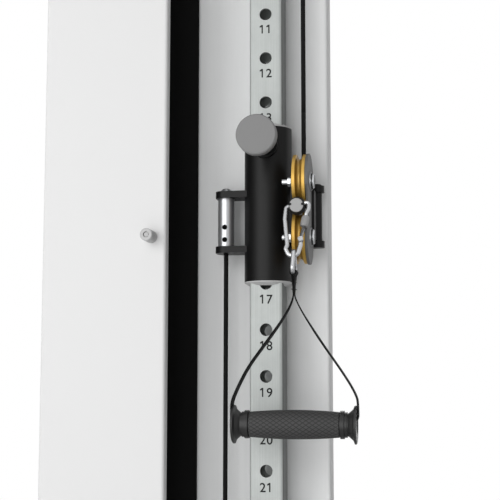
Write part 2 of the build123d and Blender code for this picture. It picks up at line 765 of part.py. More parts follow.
def gate_line():
    a = Vector(*hook_point(KNUCKLE_X, KNUCKLE_Z))
    b = Vector(*hook_point(GATE_TOP_X, GATE_TOP_Z))
    return a, b


def carabiner_gate():
    """The gate wire with its round knuckle at the lower end."""
    a, b = gate_line()
    wire = Plane(origin=a, z_dir=b - a) * extrude(Circle(GATE_WIRE_R), (b - a).length)
    return HOOK_PLANE * wire + knuckle_bar(2.6, 5.2)


def gate_sleeve():
    a, b = gate_line()
    along = (b - a).normalized()
    start = b - along * GATE_SLEEVE_L
    tube = extrude(Circle(GATE_SLEEVE_R) - Circle(GATE_WIRE_R), GATE_SLEEVE_L)
    tube = chamfer(tube.edges().filter_by(GeomType.CIRCLE).group_by(SortBy.RADIUS)[-1], 0.6)
    return HOOK_PLANE * (Plane(origin=start, z_dir=along) * tube)


# Handle

def link_apex():
    """The sharp corner that the link's top arc rounds off."""
    top = HOOK_BOTTOM + WIRE_R + 0.15 + LINK_R
    low = LINK_BOTTOM
    apex = top
    for _ in range(30):
        half_angle = math.atan2(LINK_HALF, apex - low)
        apex = top + LINK_BEND / math.sin(half_angle) - LINK_BEND
    return apex


def handle_link():
    """A three-cornered steel ring: narrow over the hook, wide at the webbing."""
    low = PIN_Z + LINK_BOTTOM
    apex = PIN_Z + link_apex()
    corners = ((LINK_Y + LINK_HALF, low), (LINK_Y, apex), (LINK_Y - LINK_HALF, low))
    face = make_face(Polyline(*corners, close=True))
    path = Plane.YZ * fillet(face.vertices(), LINK_BEND).wire()
    section = Plane(origin=path @ 0, z_dir=path % 0) * Circle(LINK_R)
    return Pos(HANDLE_X, 0, 0) * sweep(section, path)


def strap_side(side, end, bow):
    """The middle line of one ribbon, from the fork out and down into the handle."""
    start = HANDLE_X + side * WEB_T / 2
    drop = HANDLE_Z + BOW_END - FORK_Z
    line = [(start, FORK_Z + FORK_RISE), (start, FORK_Z)]
    line += [(HANDLE_X + side * end * out, FORK_Z + drop * down) for out, down in bow]
    line += [(HANDLE_X + side * end, HANDLE_Z + BOW_END)]
    return line + [(HANDLE_X + side * end, HANDLE_Z), (HANDLE_X, HANDLE_Z)]


def handle_strap():
    """Webbing: round the link, down both sides and through the handle."""
    bar_z = LINK_BOTTOM
    inner = LINK_R + 0.3
    end = HANDLE_L / 2 + WEB_T / 2 + 0.6
    left = strap_side(-1, end, LEFT_BOW)
    right = strap_side(1, end, RIGHT_BOW)
    left_bends = [8, 40, 60, 60, 40, 25, 12, 4]
    right_bends = [8, 60, 60, 25, 12, 4]
    face = Sketch()
    face += trace(FilletPolyline(*left, radius=left_bends), WEB_T)
    face += trace(FilletPolyline(*right, radius=right_bends), WEB_T)
    top = bar_z - inner
    low = FORK_Z + FORK_RISE - 2
    face += Pos(HANDLE_X, (top + low) / 2) * Rectangle(2 * WEB_T, top - low)
    face += Pos(HANDLE_X, bar_z) * Circle(inner + WEB_T)
    face -= Pos(HANDLE_X, bar_z) * Circle(inner)
    flat = Plane(origin=(0, LINK_Y, PIN_Z), x_dir=(1, 0, 0), z_dir=(0, -1, 0))
    return extrude(flat * face, WEB_W / 2, both=True)


def on_handle(shape):
    return Pos(HANDLE_X, LINK_Y, PIN_Z + HANDLE_Z) * Rot(0, 90, 0) * shape


def handle_core():
    """A tube with a broad flange and a stop ring at each end."""
    end = HANDLE_L / 2
    ring = GRIP_L / 2 + 1.1
    neck = ring + 7.9
    rim = end - RIM_T
    half = (
        (CORE_BORE_R, 0), (CORE_R, 0), (CORE_R, ring), (15.5, ring), (15.5, ring + 4.4),
        (14.0, ring + 4.6), (14.0, neck - 0.2), (12.8, neck), (12.8, neck + 1),
        (NECK_R, neck + 2), (FLANGE_R - 4, rim - 1.6), (FLANGE_R, rim),
        (FLANGE_R, end - 0.8), (FLANGE_R - 1, end), (CORE_BORE_R, end))
    side = turned(half)
    return on_handle(side + Rot(180, 0, 0) * side)


def hand_grip():
    """The grip turns on the tube and swells in the middle."""
    half = GRIP_L / 2
    bore = CORE_R + 0.15
    outer = ThreePointArc((GRIP_END_R, half), (GRIP_R, 0), (GRIP_END_R, -half))
    side = Polyline((GRIP_END_R, -half), (bore, -half), (bore, half), (GRIP_END_R, half))
    return on_handle(revolve(Plane.XZ * make_face([outer, side]), Axis.Z))


# Weight stack

def guide_rods():
    parts = Part()
    for side in (-1, 1):
        y = ROPE_Y + side * ROD_OFFSET
        parts += rod_z(STACK_X, y, ROD_R, LOW_SHELF, HIGH_SHELF + SHELF_T)
    return parts


def stack_buffers():
    z0 = LOW_SHELF + SHELF_T
    parts = Part()
    for side in (-1, 1):
        y = ROPE_Y + side * ROD_OFFSET
        ring = rod_z(STACK_X, y, BUFFER_R, z0, z0 + BUFFER_H)
        parts += ring - rod_z(STACK_X, y, ROD_R, z0 - 1, z0 + BUFFER_H + 1)
    return parts


def weight_plate(z):
    """One cast plate: two rod holes, a stem hole and a groove for the pin."""
    face = RectangleRounded(PLATE_W, PLATE_D, 4)
    for side in (-1, 1):
        face -= Pos(0, side * ROD_OFFSET) * Circle(ROD_R + ROD_PLAY)
    face -= Circle(STEM_R + STEM_PLAY)
    plate = extrude(face, PLATE_H)
    groove = SELECT_R + SELECT_PLAY
    plate -= block(0, PLATE_W, -groove, groove, -1, 2 * groove)
    return Pos(STACK_X, ROPE_Y, z) * plate


def plate_group(first, count):
    levels = range(first, first + count)
    return Compound(children=[weight_plate(STACK_BOTTOM + n * PLATE_H) for n in levels])


def resting_plates():
    return plate_group(0, PLATES - LIFTED)


def lifted_plates():
    return plate_group(PLATES - LIFTED, LIFTED)


def select_z(n):
    return STACK_BOTTOM + n * PLATE_H + SELECT_R + SELECT_PLAY


def selector_stem():
    """The bar through all plates, with a cross hole for each of them."""
    stem = rod_z(STACK_X, ROPE_Y, STEM_R, STACK_BOTTOM + 2, STACK_TOP)
    for n in range(PLATES):
        hole = rod_x(ROPE_Y, select_z(n), SELECT_R + 0.3, STACK_X - STEM_R - 1, STACK_X + STEM_R + 1)
        stem -= hole
    collar = rod_z(STACK_X, ROPE_Y, STEM_R + 8, STACK_TOP, STACK_TOP + 6)
    return stem + collar


def selector_pin():
    """The pin under the lowest lifted plate, with its knob in the slot."""
    z = select_z(PLATES - LIFTED)
    edge = STACK_X + PLATE_W / 2
    pin = rod_x(ROPE_Y, z, SELECT_R, STACK_X - SELECT_REACH, edge + 1)
    knob = Rot(0, 90, 0) * turned((
        (0, 0), (SELECT_KNOB_R - 2, 0), (SELECT_KNOB_R, 2), (SELECT_KNOB_R, SELECT_KNOB_L - 3),
        (SELECT_KNOB_R - 3, SELECT_KNOB_L), (0, SELECT_KNOB_L)))
    return pin + Pos(edge + 1, ROPE_Y, z) * knob


def float_bracket():
    """Two cheeks on the stem's head that hold the floating pulley."""
    base = STACK_TOP + 6
    half = PULLEY_W / 2 + 1
    face = Pos(STACK_X, (base + FLOAT_Z) / 2) * Rectangle(30, FLOAT_Z - base)
    face += Pos(STACK_X, FLOAT_Z) * Circle(15)
    face -= Pos(STACK_X, FLOAT_Z) * Circle(AXLE_R)
    parts = block(STACK_X - 15, STACK_X + 15, ROPE_Y - half, ROPE_Y + half, base, base + 8)
    for y in (ROPE_Y - half, ROPE_Y + half + FLOAT_CHEEK):
        parts += Pos(0, y, 0) * extrude(Plane.XZ * face, FLOAT_CHEEK)
    reach = half + FLOAT_CHEEK + 2
    parts += rod_y(STACK_X, FLOAT_Z, AXLE_R, ROPE_Y - reach, ROPE_Y + reach)
    return parts


# Head and base pulleys

def head_axle_places():
    right = BLOCK_X - PULLEY_ROPE_R
    middle = STRAND_RIGHT + PULLEY_ROPE_R
    left = STRAND_LEFT - TURN_ROPE_R
    return right, middle, left


def base_axle_places():
    return RETURN_X + PULLEY_ROPE_R, ROPE_LEFT_X - PULLEY_ROPE_R


def tower_pulley(x, z, rope_r):
    wheel = grooved_wheel(rope_r, rope_r + PULLEY_RIM, PULLEY_W, AXLE_R + RUN_PLAY)
    return wheel_on_y(x, ROPE_Y, z, wheel)


def pulley_axles():
    """Axles with a collar behind and a round head before each pulley."""
    front = ROPE_Y - PULLEY_W / 2 - 0.5
    parts = Part()
    places = [(x, HEAD_PULLEY_Z) for x in head_axle_places()]
    places += [(x, BASE_PULLEY_Z) for x in base_axle_places()]
    for x, z in places:
        parts += rod_y(x, z, AXLE_R, front - 4, WEB_Y)
        parts += rod_y(x, z, 8, front - 4, front)
        parts += rod_y(x, z, 8, ROPE_Y + PULLEY_W / 2 + 0.5, WEB_Y - SHELF_T)
    return parts


def flat_rope(path, start):
    """Rope in the plane of the tower pulleys, from a start that points up."""
    section = Plane(origin=(start[0], 0, start[1]), z_dir=(0, 0, 1)) * Circle(ROPE_R)
    return Pos(0, ROPE_Y, 0) * sweep(section, Plane.XZ * path)


def rope_head():
    """Over the two head pulleys between the carriage and the stack."""
    right, middle, left = head_axle_places()
    r = PULLEY_ROPE_R
    z = HEAD_PULLEY_Z
    path = Curve() + [
        CenterArc((right, z), r, 0, 90),
        Line((right, z + r), (middle, z + r)),
        CenterArc((middle, z), r, 90, 90),
    ]
    return flat_rope(path, (BLOCK_X, z))


def rope_return():
    """Over the left head pulley, down the tower and round the base pulleys."""
    head = head_axle_places()[2]
    near, far = base_axle_places()
    r = PULLEY_ROPE_R
    path = Curve() + [
        CenterArc((head, HEAD_PULLEY_Z), TURN_ROPE_R, 0, 180),
        Line((RETURN_X, HEAD_PULLEY_Z), (RETURN_X, BASE_PULLEY_Z)),
        CenterArc((near, BASE_PULLEY_Z), r, 180, 90),
        Line((near, BASE_PULLEY_Z - r), (far, BASE_PULLEY_Z - r)),
        CenterArc((far, BASE_PULLEY_Z), r, 270, 90),
    ]
    return flat_rope(path, (STRAND_LEFT, HEAD_PULLEY_Z))


def rope_float():
    path = CenterArc((STACK_X, FLOAT_Z), PULLEY_ROPE_R, 180, 180)
    section = Plane(origin=(STRAND_LEFT, 0, FLOAT_Z), z_dir=(0, 0, -1)) * Circle(ROPE_R)
    return Pos(0, ROPE_Y, 0) * sweep(section, Plane.XZ * path)


def rope_stack():
    """The two strands between the head pulleys and the floating pulley."""
    strands = rod_z(STRAND_RIGHT, ROPE_Y, ROPE_R, FLOAT_Z, HEAD_PULLEY_Z)
    return strands + rod_z(STRAND_LEFT, ROPE_Y, ROPE_R, FLOAT_Z, HEAD_PULLEY_Z)


def rope_right():
    return rod_z(BLOCK_X, ROPE_Y, ROPE_R, UPPER_Z, HEAD_PULLEY_Z)


def rope_left():
    """From the base pulley to the anchor on the carriage."""
    high, low = left_arm_levels()
    start = (ROPE_LEFT_X, ROPE_Y, BASE_PULLEY_Z + 0.1)
    return rod(ROPE_R, start, (ROPE_LEFT_X, RAIL_AXIS, low + ARM_T))


def accessory_peg():
    z = PIN_Z - PEG_DROP
    front = COVER_FRONT - PEG_L
    peg = rod_y(PEG_X, z, PEG_R, front, COVER_FRONT)
    peg = chamfer(peg.edges().sort_by(Axis.Y)[0], 1.0)
    peg -= rod_y(PEG_X, z, 3.4, front - 1, front + 3)
    return peg + rod_y(PEG_X, z, 2.6, front + 1.2, front + 3)


NODES = {
    "back_plate": back_plate,
    "stack_liner": stack_liner,
    "stack_cover": stack_cover,
    "rail_panel": rail_panel,
    "head_frame": head_frame,
    "base_frame": base_frame,
    "head_cover": head_cover,
    "base_cover": base_cover,
    "slide_rail": slide_rail,
    "rail_standoffs": rail_standoffs,
    "carriage_sleeve": carriage_sleeve,
    "sleeve_caps": sleeve_caps,
    "glide_pads": glide_pads,
    "plunger_housing": plunger_housing,
    "pull_knob": pull_knob,
    "plunger_pin": plunger_pin,
    "left_bracket": left_bracket,
    "rope_anchor": rope_anchor,
    "anchor_fasteners": anchor_fasteners,
    "right_bracket": right_bracket,
    "swivel_pin": swivel_pin,
    "side_plates": side_plates,
    "swivel_barrel": swivel_barrel,
    "wheel_fasteners": wheel_fasteners,
    "wheel_bushes": wheel_bushes,
    "upper_wheel": lambda: block_wheel(UPPER_Z),
    "lower_wheel": lambda: block_wheel(LOWER_Z),
    "rope_lead": rope_lead,
    "ball_stop": ball_stop,
    "ball_face": ball_face,
    "rope_end": rope_end,
    "carabiner_body": carabiner_body,
    "carabiner_gate": carabiner_gate,
    "gate_sleeve": gate_sleeve,
    "handle_link": handle_link,
    "handle_strap": handle_strap,
    "handle_core": handle_core,
    "hand_grip": hand_grip,
    "guide_rods": guide_rods,
    "stack_buffers": stack_buffers,
    "resting_plates": resting_plates,
    "lifted_plates": lifted_plates,
    "selector_stem": selector_stem,
    "selector_pin": selector_pin,
    "float_bracket": float_bracket,
    "float_pulley": lambda: tower_pulley(STACK_X, FLOAT_Z, PULLEY_ROPE_R),
    "head_pulley_right": lambda: tower_pulley(head_axle_places()[0], HEAD_PULLEY_Z, PULLEY_ROPE_R),
    "head_pulley_middle": lambda: tower_pulley(head_axle_places()[1], HEAD_PULLEY_Z, PULLEY_ROPE_R),
    "head_pulley_left": lambda: tower_pulley(head_axle_places()[2], HEAD_PULLEY_Z, TURN_ROPE_R),
    "base_pulley_left": lambda: tower_pulley(base_axle_places()[0], BASE_PULLEY_Z, PULLEY_ROPE_R),
    "base_pulley_right": lambda: tower_pulley(base_axle_places()[1], BASE_PULLEY_Z, PULLEY_ROPE_R),
    "pulley_axles": pulley_axles,
    "rope_head": rope_head,
    "rope_return": rope_return,
    "rope_float": rope_float,
    "rope_stack": rope_stack,
    "rope_right": rope_right,
    "rope_left": rope_left,
    "accessory_peg": accessory_peg,
}

os.makedirs("parts", exist_ok=True)
for name, make in NODES.items():
    export_step(make(), os.path.join("parts", name + ".step"))
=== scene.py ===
# %% [markdown]
# # A wall pulley with a weight stack
# This lesson dresses a machine that was built as solids: a white steel tower,
# a perforated rail, a black carriage, a swivelling block with two gold
# wheels, a carabiner and a webbing handle. The solids come in as a fixed
# frame. We give each one a finish, make the soft and fine pieces ourselves,
# and set up a camera and lights. All lengths are in metres.

# %% Load the solids
import bmesh
import bpy
import math
from mathutils import Vector, Matrix


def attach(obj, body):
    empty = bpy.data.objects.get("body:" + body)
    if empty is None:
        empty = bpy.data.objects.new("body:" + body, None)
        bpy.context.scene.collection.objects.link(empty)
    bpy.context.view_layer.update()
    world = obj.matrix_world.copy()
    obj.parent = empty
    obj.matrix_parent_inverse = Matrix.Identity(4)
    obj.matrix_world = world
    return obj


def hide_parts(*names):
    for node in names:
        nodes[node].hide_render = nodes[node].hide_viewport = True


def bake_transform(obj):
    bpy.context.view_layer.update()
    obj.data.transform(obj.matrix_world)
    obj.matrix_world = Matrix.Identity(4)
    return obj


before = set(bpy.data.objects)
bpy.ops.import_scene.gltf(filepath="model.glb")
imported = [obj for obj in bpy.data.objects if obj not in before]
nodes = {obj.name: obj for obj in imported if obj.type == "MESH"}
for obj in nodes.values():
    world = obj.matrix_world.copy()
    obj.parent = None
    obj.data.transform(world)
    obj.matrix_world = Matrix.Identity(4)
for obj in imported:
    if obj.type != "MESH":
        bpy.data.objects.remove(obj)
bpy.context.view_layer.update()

# %% [markdown]
# ## The camera first
# The picture was taken from a little below and to the right of the pulley
# block, with a long lens. The camera's height, turn and tilt were worked out
# from the rail's holes, whose spacing is known. The picture is 500 by 500.

# %% Camera
CAMERA_AT = (0.2029, -1.4097, 0.96944)
CAMERA_TURN = 9.554
CAMERA_TILT = 6.433
LENS_MM = 81.04
SENSOR_MM = 36.0


def new_object(name, data):
    """An object for a mesh, a lamp or a camera, put into the scene."""
    made = bpy.data.objects.new(name, data)
    bpy.context.scene.collection.objects.link(made)
    return made


camera = new_object("camera", bpy.data.cameras.new("camera"))
camera.data.lens = LENS_MM
camera.data.sensor_width = SENSOR_MM
camera.location = CAMERA_AT
camera.rotation_euler = (math.radians(90 + CAMERA_TILT), 0, math.radians(CAMERA_TURN))
bpy.context.scene.camera = camera
print("camera at", CAMERA_AT)

# %% [markdown]
# ## Sizes that several pieces share
# The carriage carries nearly everything that we look at, so its pull pin is
# the zero of the heights in this lesson, as it was in the workshop drawing.
# The carabiner, the link and the handle hang in one plane, which leans back
# towards the tower because the carabiner rests on the ball's housing.

# %% Shared sizes
PIN_Z = 1.245
ROPE_R = 0.0028
ROPE_Y = -0.0809
BLOCK_X = 0.045
WHEEL_Y = -0.110
WHEEL_ROPE_R = 0.0291
UPPER_Z = PIN_Z - 0.047
LOWER_Z = PIN_Z - 0.113
BALL = Vector((0.0435, -0.13669, 1.165))
STACK_X = -0.180
STACK_FOOT = 0.178
PLATE_H = 0.028
FLOAT_Z = 0.622
HOOK_Y = -0.1376
HOOK_TOP_MM = -78.8
HOOK_LEAN = math.radians(19.2)


def on_pin(z_mm):
    """A height in the drawing, counted from the pull pin, in metres."""
    return PIN_Z + z_mm / 1000


def hook_y(z_mm):
    """Where the leaning plane of the carabiner is at a height of the drawing."""
    return HOOK_Y + (z_mm - HOOK_TOP_MM) / 1000 * math.tan(HOOK_LEAN)


# %% [markdown]
# ## Patterns for the finishes
# A finish is more than a colour. Powder coat has a fine grain, plated steel
# shows the run of the brush, turned metal has rings, a rope shows its braid.
# Each of these is a small node group, built once and used by many materials.
# A group only puts out a tone and a height; the shader stays outside.

# %% Group helpers
FLOAT = "NodeSocketFloat"
VECTOR = "NodeSocketVector"
ORIGIN = (0, 0, 0)


def new_group(name, *inputs):
    """A shader group with the given (name, kind, value) inputs; gives their sockets too."""
    tree = bpy.data.node_groups.new(name, "ShaderNodeTree")
    for title, kind, value in inputs:
        socket = tree.interface.new_socket(title, in_out="INPUT", socket_type=kind)
        socket.default_value = value
    for title in ("Tone", "Height"):
        tree.interface.new_socket(title, in_out="OUTPUT", socket_type=FLOAT)
    return tree, tree.nodes.new("NodeGroupInput").outputs


def put_out(tree, tone, height):
    """Lead a tone and a height to the outputs of their group."""
    out = tree.nodes.new("NodeGroupOutput")
    tree.links.new(tone, out.inputs["Tone"])
    tree.links.new(height, out.inputs["Height"])


def math_node(tree, operation, first, second=None, clamp=False):
    """One sum on sockets or numbers; clamp keeps the result between 0 and 1."""
    node = tree.nodes.new("ShaderNodeMath")
    node.operation = operation
    node.use_clamp = clamp
    for place, value in enumerate((first, second)):
        if isinstance(value, (int, float)):
            node.inputs[place].default_value = value
        elif value is not None:
            tree.links.new(value, node.inputs[place])
    return node.outputs[0]


def mixed(tree, first, share, second):
    """The first value by its share, and the second by what is left."""
    return math_node(tree, "ADD", math_node(tree, "MULTIPLY", first, share),
                     math_node(tree, "MULTIPLY", second, 1 - share))


def split(tree, vector):
    """The x, y and z of a vector, as sockets."""
    node = tree.nodes.new("ShaderNodeSeparateXYZ")
    tree.links.new(vector, node.inputs[0])
    return node.outputs


def noise_node(tree, vector, scale, detail=2.0, rough=0.5):
    """Noise over a vector; its scale is a number or a socket."""
    node = tree.nodes.new("ShaderNodeTexNoise")
    node.inputs["Detail"].default_value = detail
    node.inputs["Roughness"].default_value = rough
    tree.links.new(vector, node.inputs["Vector"])
    if isinstance(scale, (int, float)):
        node.inputs["Scale"].default_value = scale
    else:
        tree.links.new(scale, node.inputs["Scale"])
    return node.outputs[0]


# %% Grain: powder coat, moulded plastic, cast iron
grain, given = new_group("grain", ("Vector", VECTOR, ORIGIN), ("Grain", FLOAT, 900.0),
                         ("Cloud", FLOAT, 14.0))
fine = noise_node(grain, given["Vector"], given["Grain"])
cloud = noise_node(grain, given["Vector"], given["Cloud"], 4.0, 0.6)
put_out(grain, mixed(grain, fine, 0.35, cloud), fine)

# %% Brushed: long scratches along one direction
brushed, given = new_group("brushed", ("Vector", VECTOR, ORIGIN),
                           ("Along", VECTOR, (1400, 1400, 10)), ("Cloud", FLOAT, 30.0))
stretch = brushed.nodes.new("ShaderNodeVectorMath")
stretch.operation = "MULTIPLY"
brushed.links.new(given["Vector"], stretch.inputs[0])
brushed.links.new(given["Along"], stretch.inputs[1])
lines = noise_node(brushed, stretch.outputs[0], 1.0, 3.0, 0.6)
patch = noise_node(brushed, given["Vector"], given["Cloud"], 5.0, 0.6)
put_out(brushed, mixed(brushed, lines, 0.5, patch), lines)

# %% Turned: rings about an axis, as a lathe leaves them
turned, given = new_group("turned", ("Vector", VECTOR, ORIGIN), ("Rings", FLOAT, 900.0),
                          ("Cloud", FLOAT, 60.0))
length = turned.nodes.new("ShaderNodeVectorMath")
length.operation = "LENGTH"
turned.links.new(given["Vector"], length.inputs[0])
rings = turned.nodes.new("ShaderNodeTexNoise")
rings.noise_dimensions = "1D"
rings.inputs["Detail"].default_value = 2.0
turned.links.new(length.outputs["Value"], rings.inputs["W"])
turned.links.new(given["Rings"], rings.inputs["Scale"])
smear = noise_node(turned, given["Vector"], given["Cloud"], 4.0, 0.6)
put_out(turned, mixed(turned, rings.outputs[0], 0.5, smear), rings.outputs[0])

# %% [markdown]
# Braid, weave and knurl are all two families of slanting lines that cross.
# They follow the piece's own UV map, because u goes once round the piece and
# v runs along it in metres, however the piece bends.

# %% Braid and weave: two crossing waves on the piece's own length and girth
braid, given = new_group("braid", ("UV", VECTOR, ORIGIN), ("Around", FLOAT, 8.0),
                         ("Along", FLOAT, 260.0))
uv = split(braid, given["UV"])
across = math_node(braid, "MULTIPLY", uv[0], given["Around"])
down = math_node(braid, "MULTIPLY", uv[1], given["Along"])
waves = []
for operation in ("ADD", "SUBTRACT"):
    turns = math_node(braid, operation, across, down)
    waves.append(math_node(braid, "SINE", math_node(braid, "MULTIPLY", turns, math.tau)))
lay = math_node(braid, "MAXIMUM", waves[0], waves[1])
height = math_node(braid, "ADD", math_node(braid, "MULTIPLY", lay, 0.5), 0.5)
put_out(braid, height, height)

# %% Knurl: crossing grooves, painted dark as shade, that match the grip's own shape
KNURLS_ROUND = 20
KNURL_PITCH = 0.0072
knurl, given = new_group("knurl", ("UV", VECTOR, ORIGIN), ("Around", FLOAT, KNURLS_ROUND),
                         ("Pitch", FLOAT, KNURL_PITCH))
uv = split(knurl, given["UV"])
around = math_node(knurl, "MULTIPLY", uv[0], given["Around"])
along = math_node(knurl, "DIVIDE", uv[1], given["Pitch"])
walls = []
for operation in ("ADD", "SUBTRACT"):
    phase = math_node(knurl, "MULTIPLY", math_node(knurl, operation, around, along), math.pi)
    walls.append(math_node(knurl, "ABSOLUTE", math_node(knurl, "SINE", phase)))
lowest = math_node(knurl, "MINIMUM", walls[0], walls[1])
# Painted shade: the tone is lowest in the grooves, which darkens them.
land = math_node(knurl, "MULTIPLY", lowest, 2.2, clamp=True)
put_out(knurl, land, land)

# %% Side shade: the brushed rail, with painted shade on its sides beyond the front face
SHADE_EDGE = 0.0188
EDGE_FADE = 0.0006
side_shaded, given = new_group("side_shaded", ("Vector", VECTOR, ORIGIN), ("Along", VECTOR, (700, 700, 5)),
                        ("Half", FLOAT, SHADE_EDGE))
base_marks = side_shaded.nodes.new("ShaderNodeGroup")
base_marks.node_tree = brushed
for title in ("Vector", "Along"):
    side_shaded.links.new(given[title], base_marks.inputs[title])
from_middle = math_node(side_shaded, "ABSOLUTE", split(side_shaded, given["Vector"])[0])
outside = math_node(side_shaded, "SUBTRACT", from_middle, given["Half"])
# Painted shade: past the front face's edge the tone falls to 0, so the sides turn dark.
painted_side_shade = math_node(side_shaded, "MULTIPLY", outside, 1 / EDGE_FADE, clamp=True)
unshaded_face = math_node(side_shaded, "SUBTRACT", 1.0, painted_side_shade)
above_low = math_node(side_shaded, "SUBTRACT", base_marks.outputs["Tone"], 0.3)
strong = math_node(side_shaded, "MULTIPLY", above_low, 2.5, clamp=True)
streaky = math_node(side_shaded, "ADD", math_node(side_shaded, "MULTIPLY", strong, 0.3), 0.7)
put_out(side_shaded, math_node(side_shaded, "MULTIPLY", streaky, unshaded_face), base_marks.outputs["Height"])

# %% Rim highlights: rims painted bright as highlights round a darker middle, on two parallel axes
rim_highlights, given = new_group(
    "rim_highlights", ("Vector", VECTOR, ORIGIN), ("Half", FLOAT, 0.0), ("From", FLOAT, -1.0),
    ("Front", FLOAT, -1.0), ("Inner", FLOAT, 0.0), ("Gap", FLOAT, 0.0), ("Outer", FLOAT, 0.01))
spot = split(rim_highlights, given["Vector"])
rise = math_node(rim_highlights, "SUBTRACT", math_node(rim_highlights, "ABSOLUTE", spot[2]), given["Half"])
square = math_node(rim_highlights, "ADD", math_node(rim_highlights, "MULTIPLY", spot[1], spot[1]),
                   math_node(rim_highlights, "MULTIPLY", rise, rise))
radius = math_node(rim_highlights, "SQRT", square)
head_rim = math_node(rim_highlights, "MULTIPLY", math_node(rim_highlights, "GREATER_THAN", radius, given["Inner"]),
                     math_node(rim_highlights, "LESS_THAN", radius, given["Gap"]))
in_front = math_node(rim_highlights, "GREATER_THAN", spot[0], given["Front"])
head_rim = math_node(rim_highlights, "MULTIPLY", head_rim, in_front)
washer_rim = math_node(rim_highlights, "GREATER_THAN", radius, given["Outer"])
thread_end = math_node(rim_highlights, "LESS_THAN", spot[0], given["From"])
# Painted highlight on the rims; the middle of a head and a thin ring between head and washer stay dark
# as painted shadow.
lit = math_node(rim_highlights, "MAXIMUM", math_node(rim_highlights, "MAXIMUM", head_rim, washer_rim), thread_end)
lathe_marks = noise_node(rim_highlights, given["Vector"], 400.0)
put_out(rim_highlights, mixed(rim_highlights, lit, 0.85, lathe_marks), lathe_marks)

# %% Stacked: cast plates with a dark seam at every plate's height
stacked, given = new_group("stacked", ("Vector", VECTOR, ORIGIN), ("Foot", FLOAT, STACK_FOOT),
                           ("Pitch", FLOAT, PLATE_H), ("Seam", FLOAT, 0.0011))
above = math_node(stacked, "SUBTRACT", split(stacked, given["Vector"])[2], given["Foot"])
nearest = math_node(stacked, "ROUND", math_node(stacked, "DIVIDE", above, given["Pitch"]))
nearest_seam = math_node(stacked, "MULTIPLY", given["Pitch"], nearest)
from_seam = math_node(stacked, "ABSOLUTE", math_node(stacked, "SUBTRACT", above, nearest_seam))
solid_part = math_node(stacked, "GREATER_THAN", from_seam, given["Seam"])
casting = noise_node(stacked, given["Vector"], 600.0, 4.0, 0.6)
tone = math_node(stacked, "ADD", math_node(stacked, "MULTIPLY", casting, 0.5), 0.5)
relief = math_node(stacked, "ADD", math_node(stacked, "MULTIPLY", casting, 0.3), solid_part)
put_out(stacked, math_node(stacked, "MULTIPLY", tone, solid_part), relief)
print("pattern groups:", [g.name for g in bpy.data.node_groups])


# %% [markdown]
# ## From a pattern to a material
# One helper joins a pattern to the Principled shader. The tone moves the
# colour and the roughness a little, and the height goes through a Bump node.
# Plain numbers, such as how metallic it is, are set on the shader itself.

# %% Material helper
def srgb(value):
    """A screen value from 0 to 255 as the linear number that nodes use."""
    part = value / 255
    return part / 12.92 if part <= 0.04045 else ((part + 0.055) / 1.055) ** 2.4


def grey(value):
    """The same screen value for red, green and blue."""
    return (value, value, value)


def finish(name, colour, rough, pattern, metal=0.0, spread=0.08, rough_spread=0.06,
           bump=0.05, depth=0.0003, shine=0.5, low=None, edge=1.0, centre=ORIGIN,
           flatten=(1, 1, 1), **values):
    """A material: colour as 0-255 values, varied by the tone of one pattern.

    low is the share of the colour that is left where the tone is 0, and edge
    is the tint of a metal's reflection where it is seen at a flat angle.
    centre and flatten put a pattern of rings on its axis.
    """
    material = bpy.data.materials.new(name)
    material.use_nodes = True
    tree = material.node_tree
    shader = tree.nodes["Principled BSDF"]
    shader.inputs["Metallic"].default_value = metal
    shader.inputs["Specular IOR Level"].default_value = shine
    shader.inputs["Specular Tint"].default_value = (edge, edge, edge, 1)
    coords = tree.nodes.new("ShaderNodeTexCoord")
    marks = tree.nodes.new("ShaderNodeGroup")
    marks.node_tree = pattern
    if "UV" in marks.inputs:
        tree.links.new(coords.outputs["UV"], marks.inputs["UV"])
    else:
        place = tree.nodes.new("ShaderNodeMapping")
        place.inputs["Location"].default_value = [-c * f for c, f in zip(centre, flatten)]
        place.inputs["Scale"].default_value = flatten
        tree.links.new(coords.outputs["Object"], place.inputs["Vector"])
        tree.links.new(place.outputs["Vector"], marks.inputs["Vector"])
    for title, value in values.items():
        marks.inputs[title].default_value = value
    mix = tree.nodes.new("ShaderNodeMix")
    mix.data_type = "RGBA"
    base = [srgb(c) for c in colour]
    least = 1 - spread if low is None else low
    mix.inputs[6].default_value = [c * least for c in base] + [1]
    mix.inputs[7].default_value = [min(c * (1 + spread), 1) for c in base] + [1]
    tree.links.new(marks.outputs["Tone"], mix.inputs[0])
    tree.links.new(mix.outputs[2], shader.inputs["Base Color"])
    gloss = tree.nodes.new("ShaderNodeMapRange")
    gloss.inputs["To Min"].default_value = max(rough - rough_spread, 0.02)
    gloss.inputs["To Max"].default_value = min(rough + rough_spread, 1.0)
    tree.links.new(marks.outputs["Tone"], gloss.inputs["Value"])
    tree.links.new(gloss.outputs["Result"], shader.inputs["Roughness"])
    relief = tree.nodes.new("ShaderNodeBump")
    relief.inputs["Strength"].default_value = bump
    relief.inputs["Distance"].default_value = depth
    tree.links.new(marks.outputs["Height"], relief.inputs["Height"])
    tree.links.new(relief.outputs["Normal"], shader.inputs["Normal"])
    return material


# %% [markdown]
# ## The finishes of this machine
# The tower is powder coated white and light grey, and black inside. The rail
# is plated steel with an upright brush. The carriage is black, the wheels
# are gold anodised aluminium, and most fasteners are polished steel.

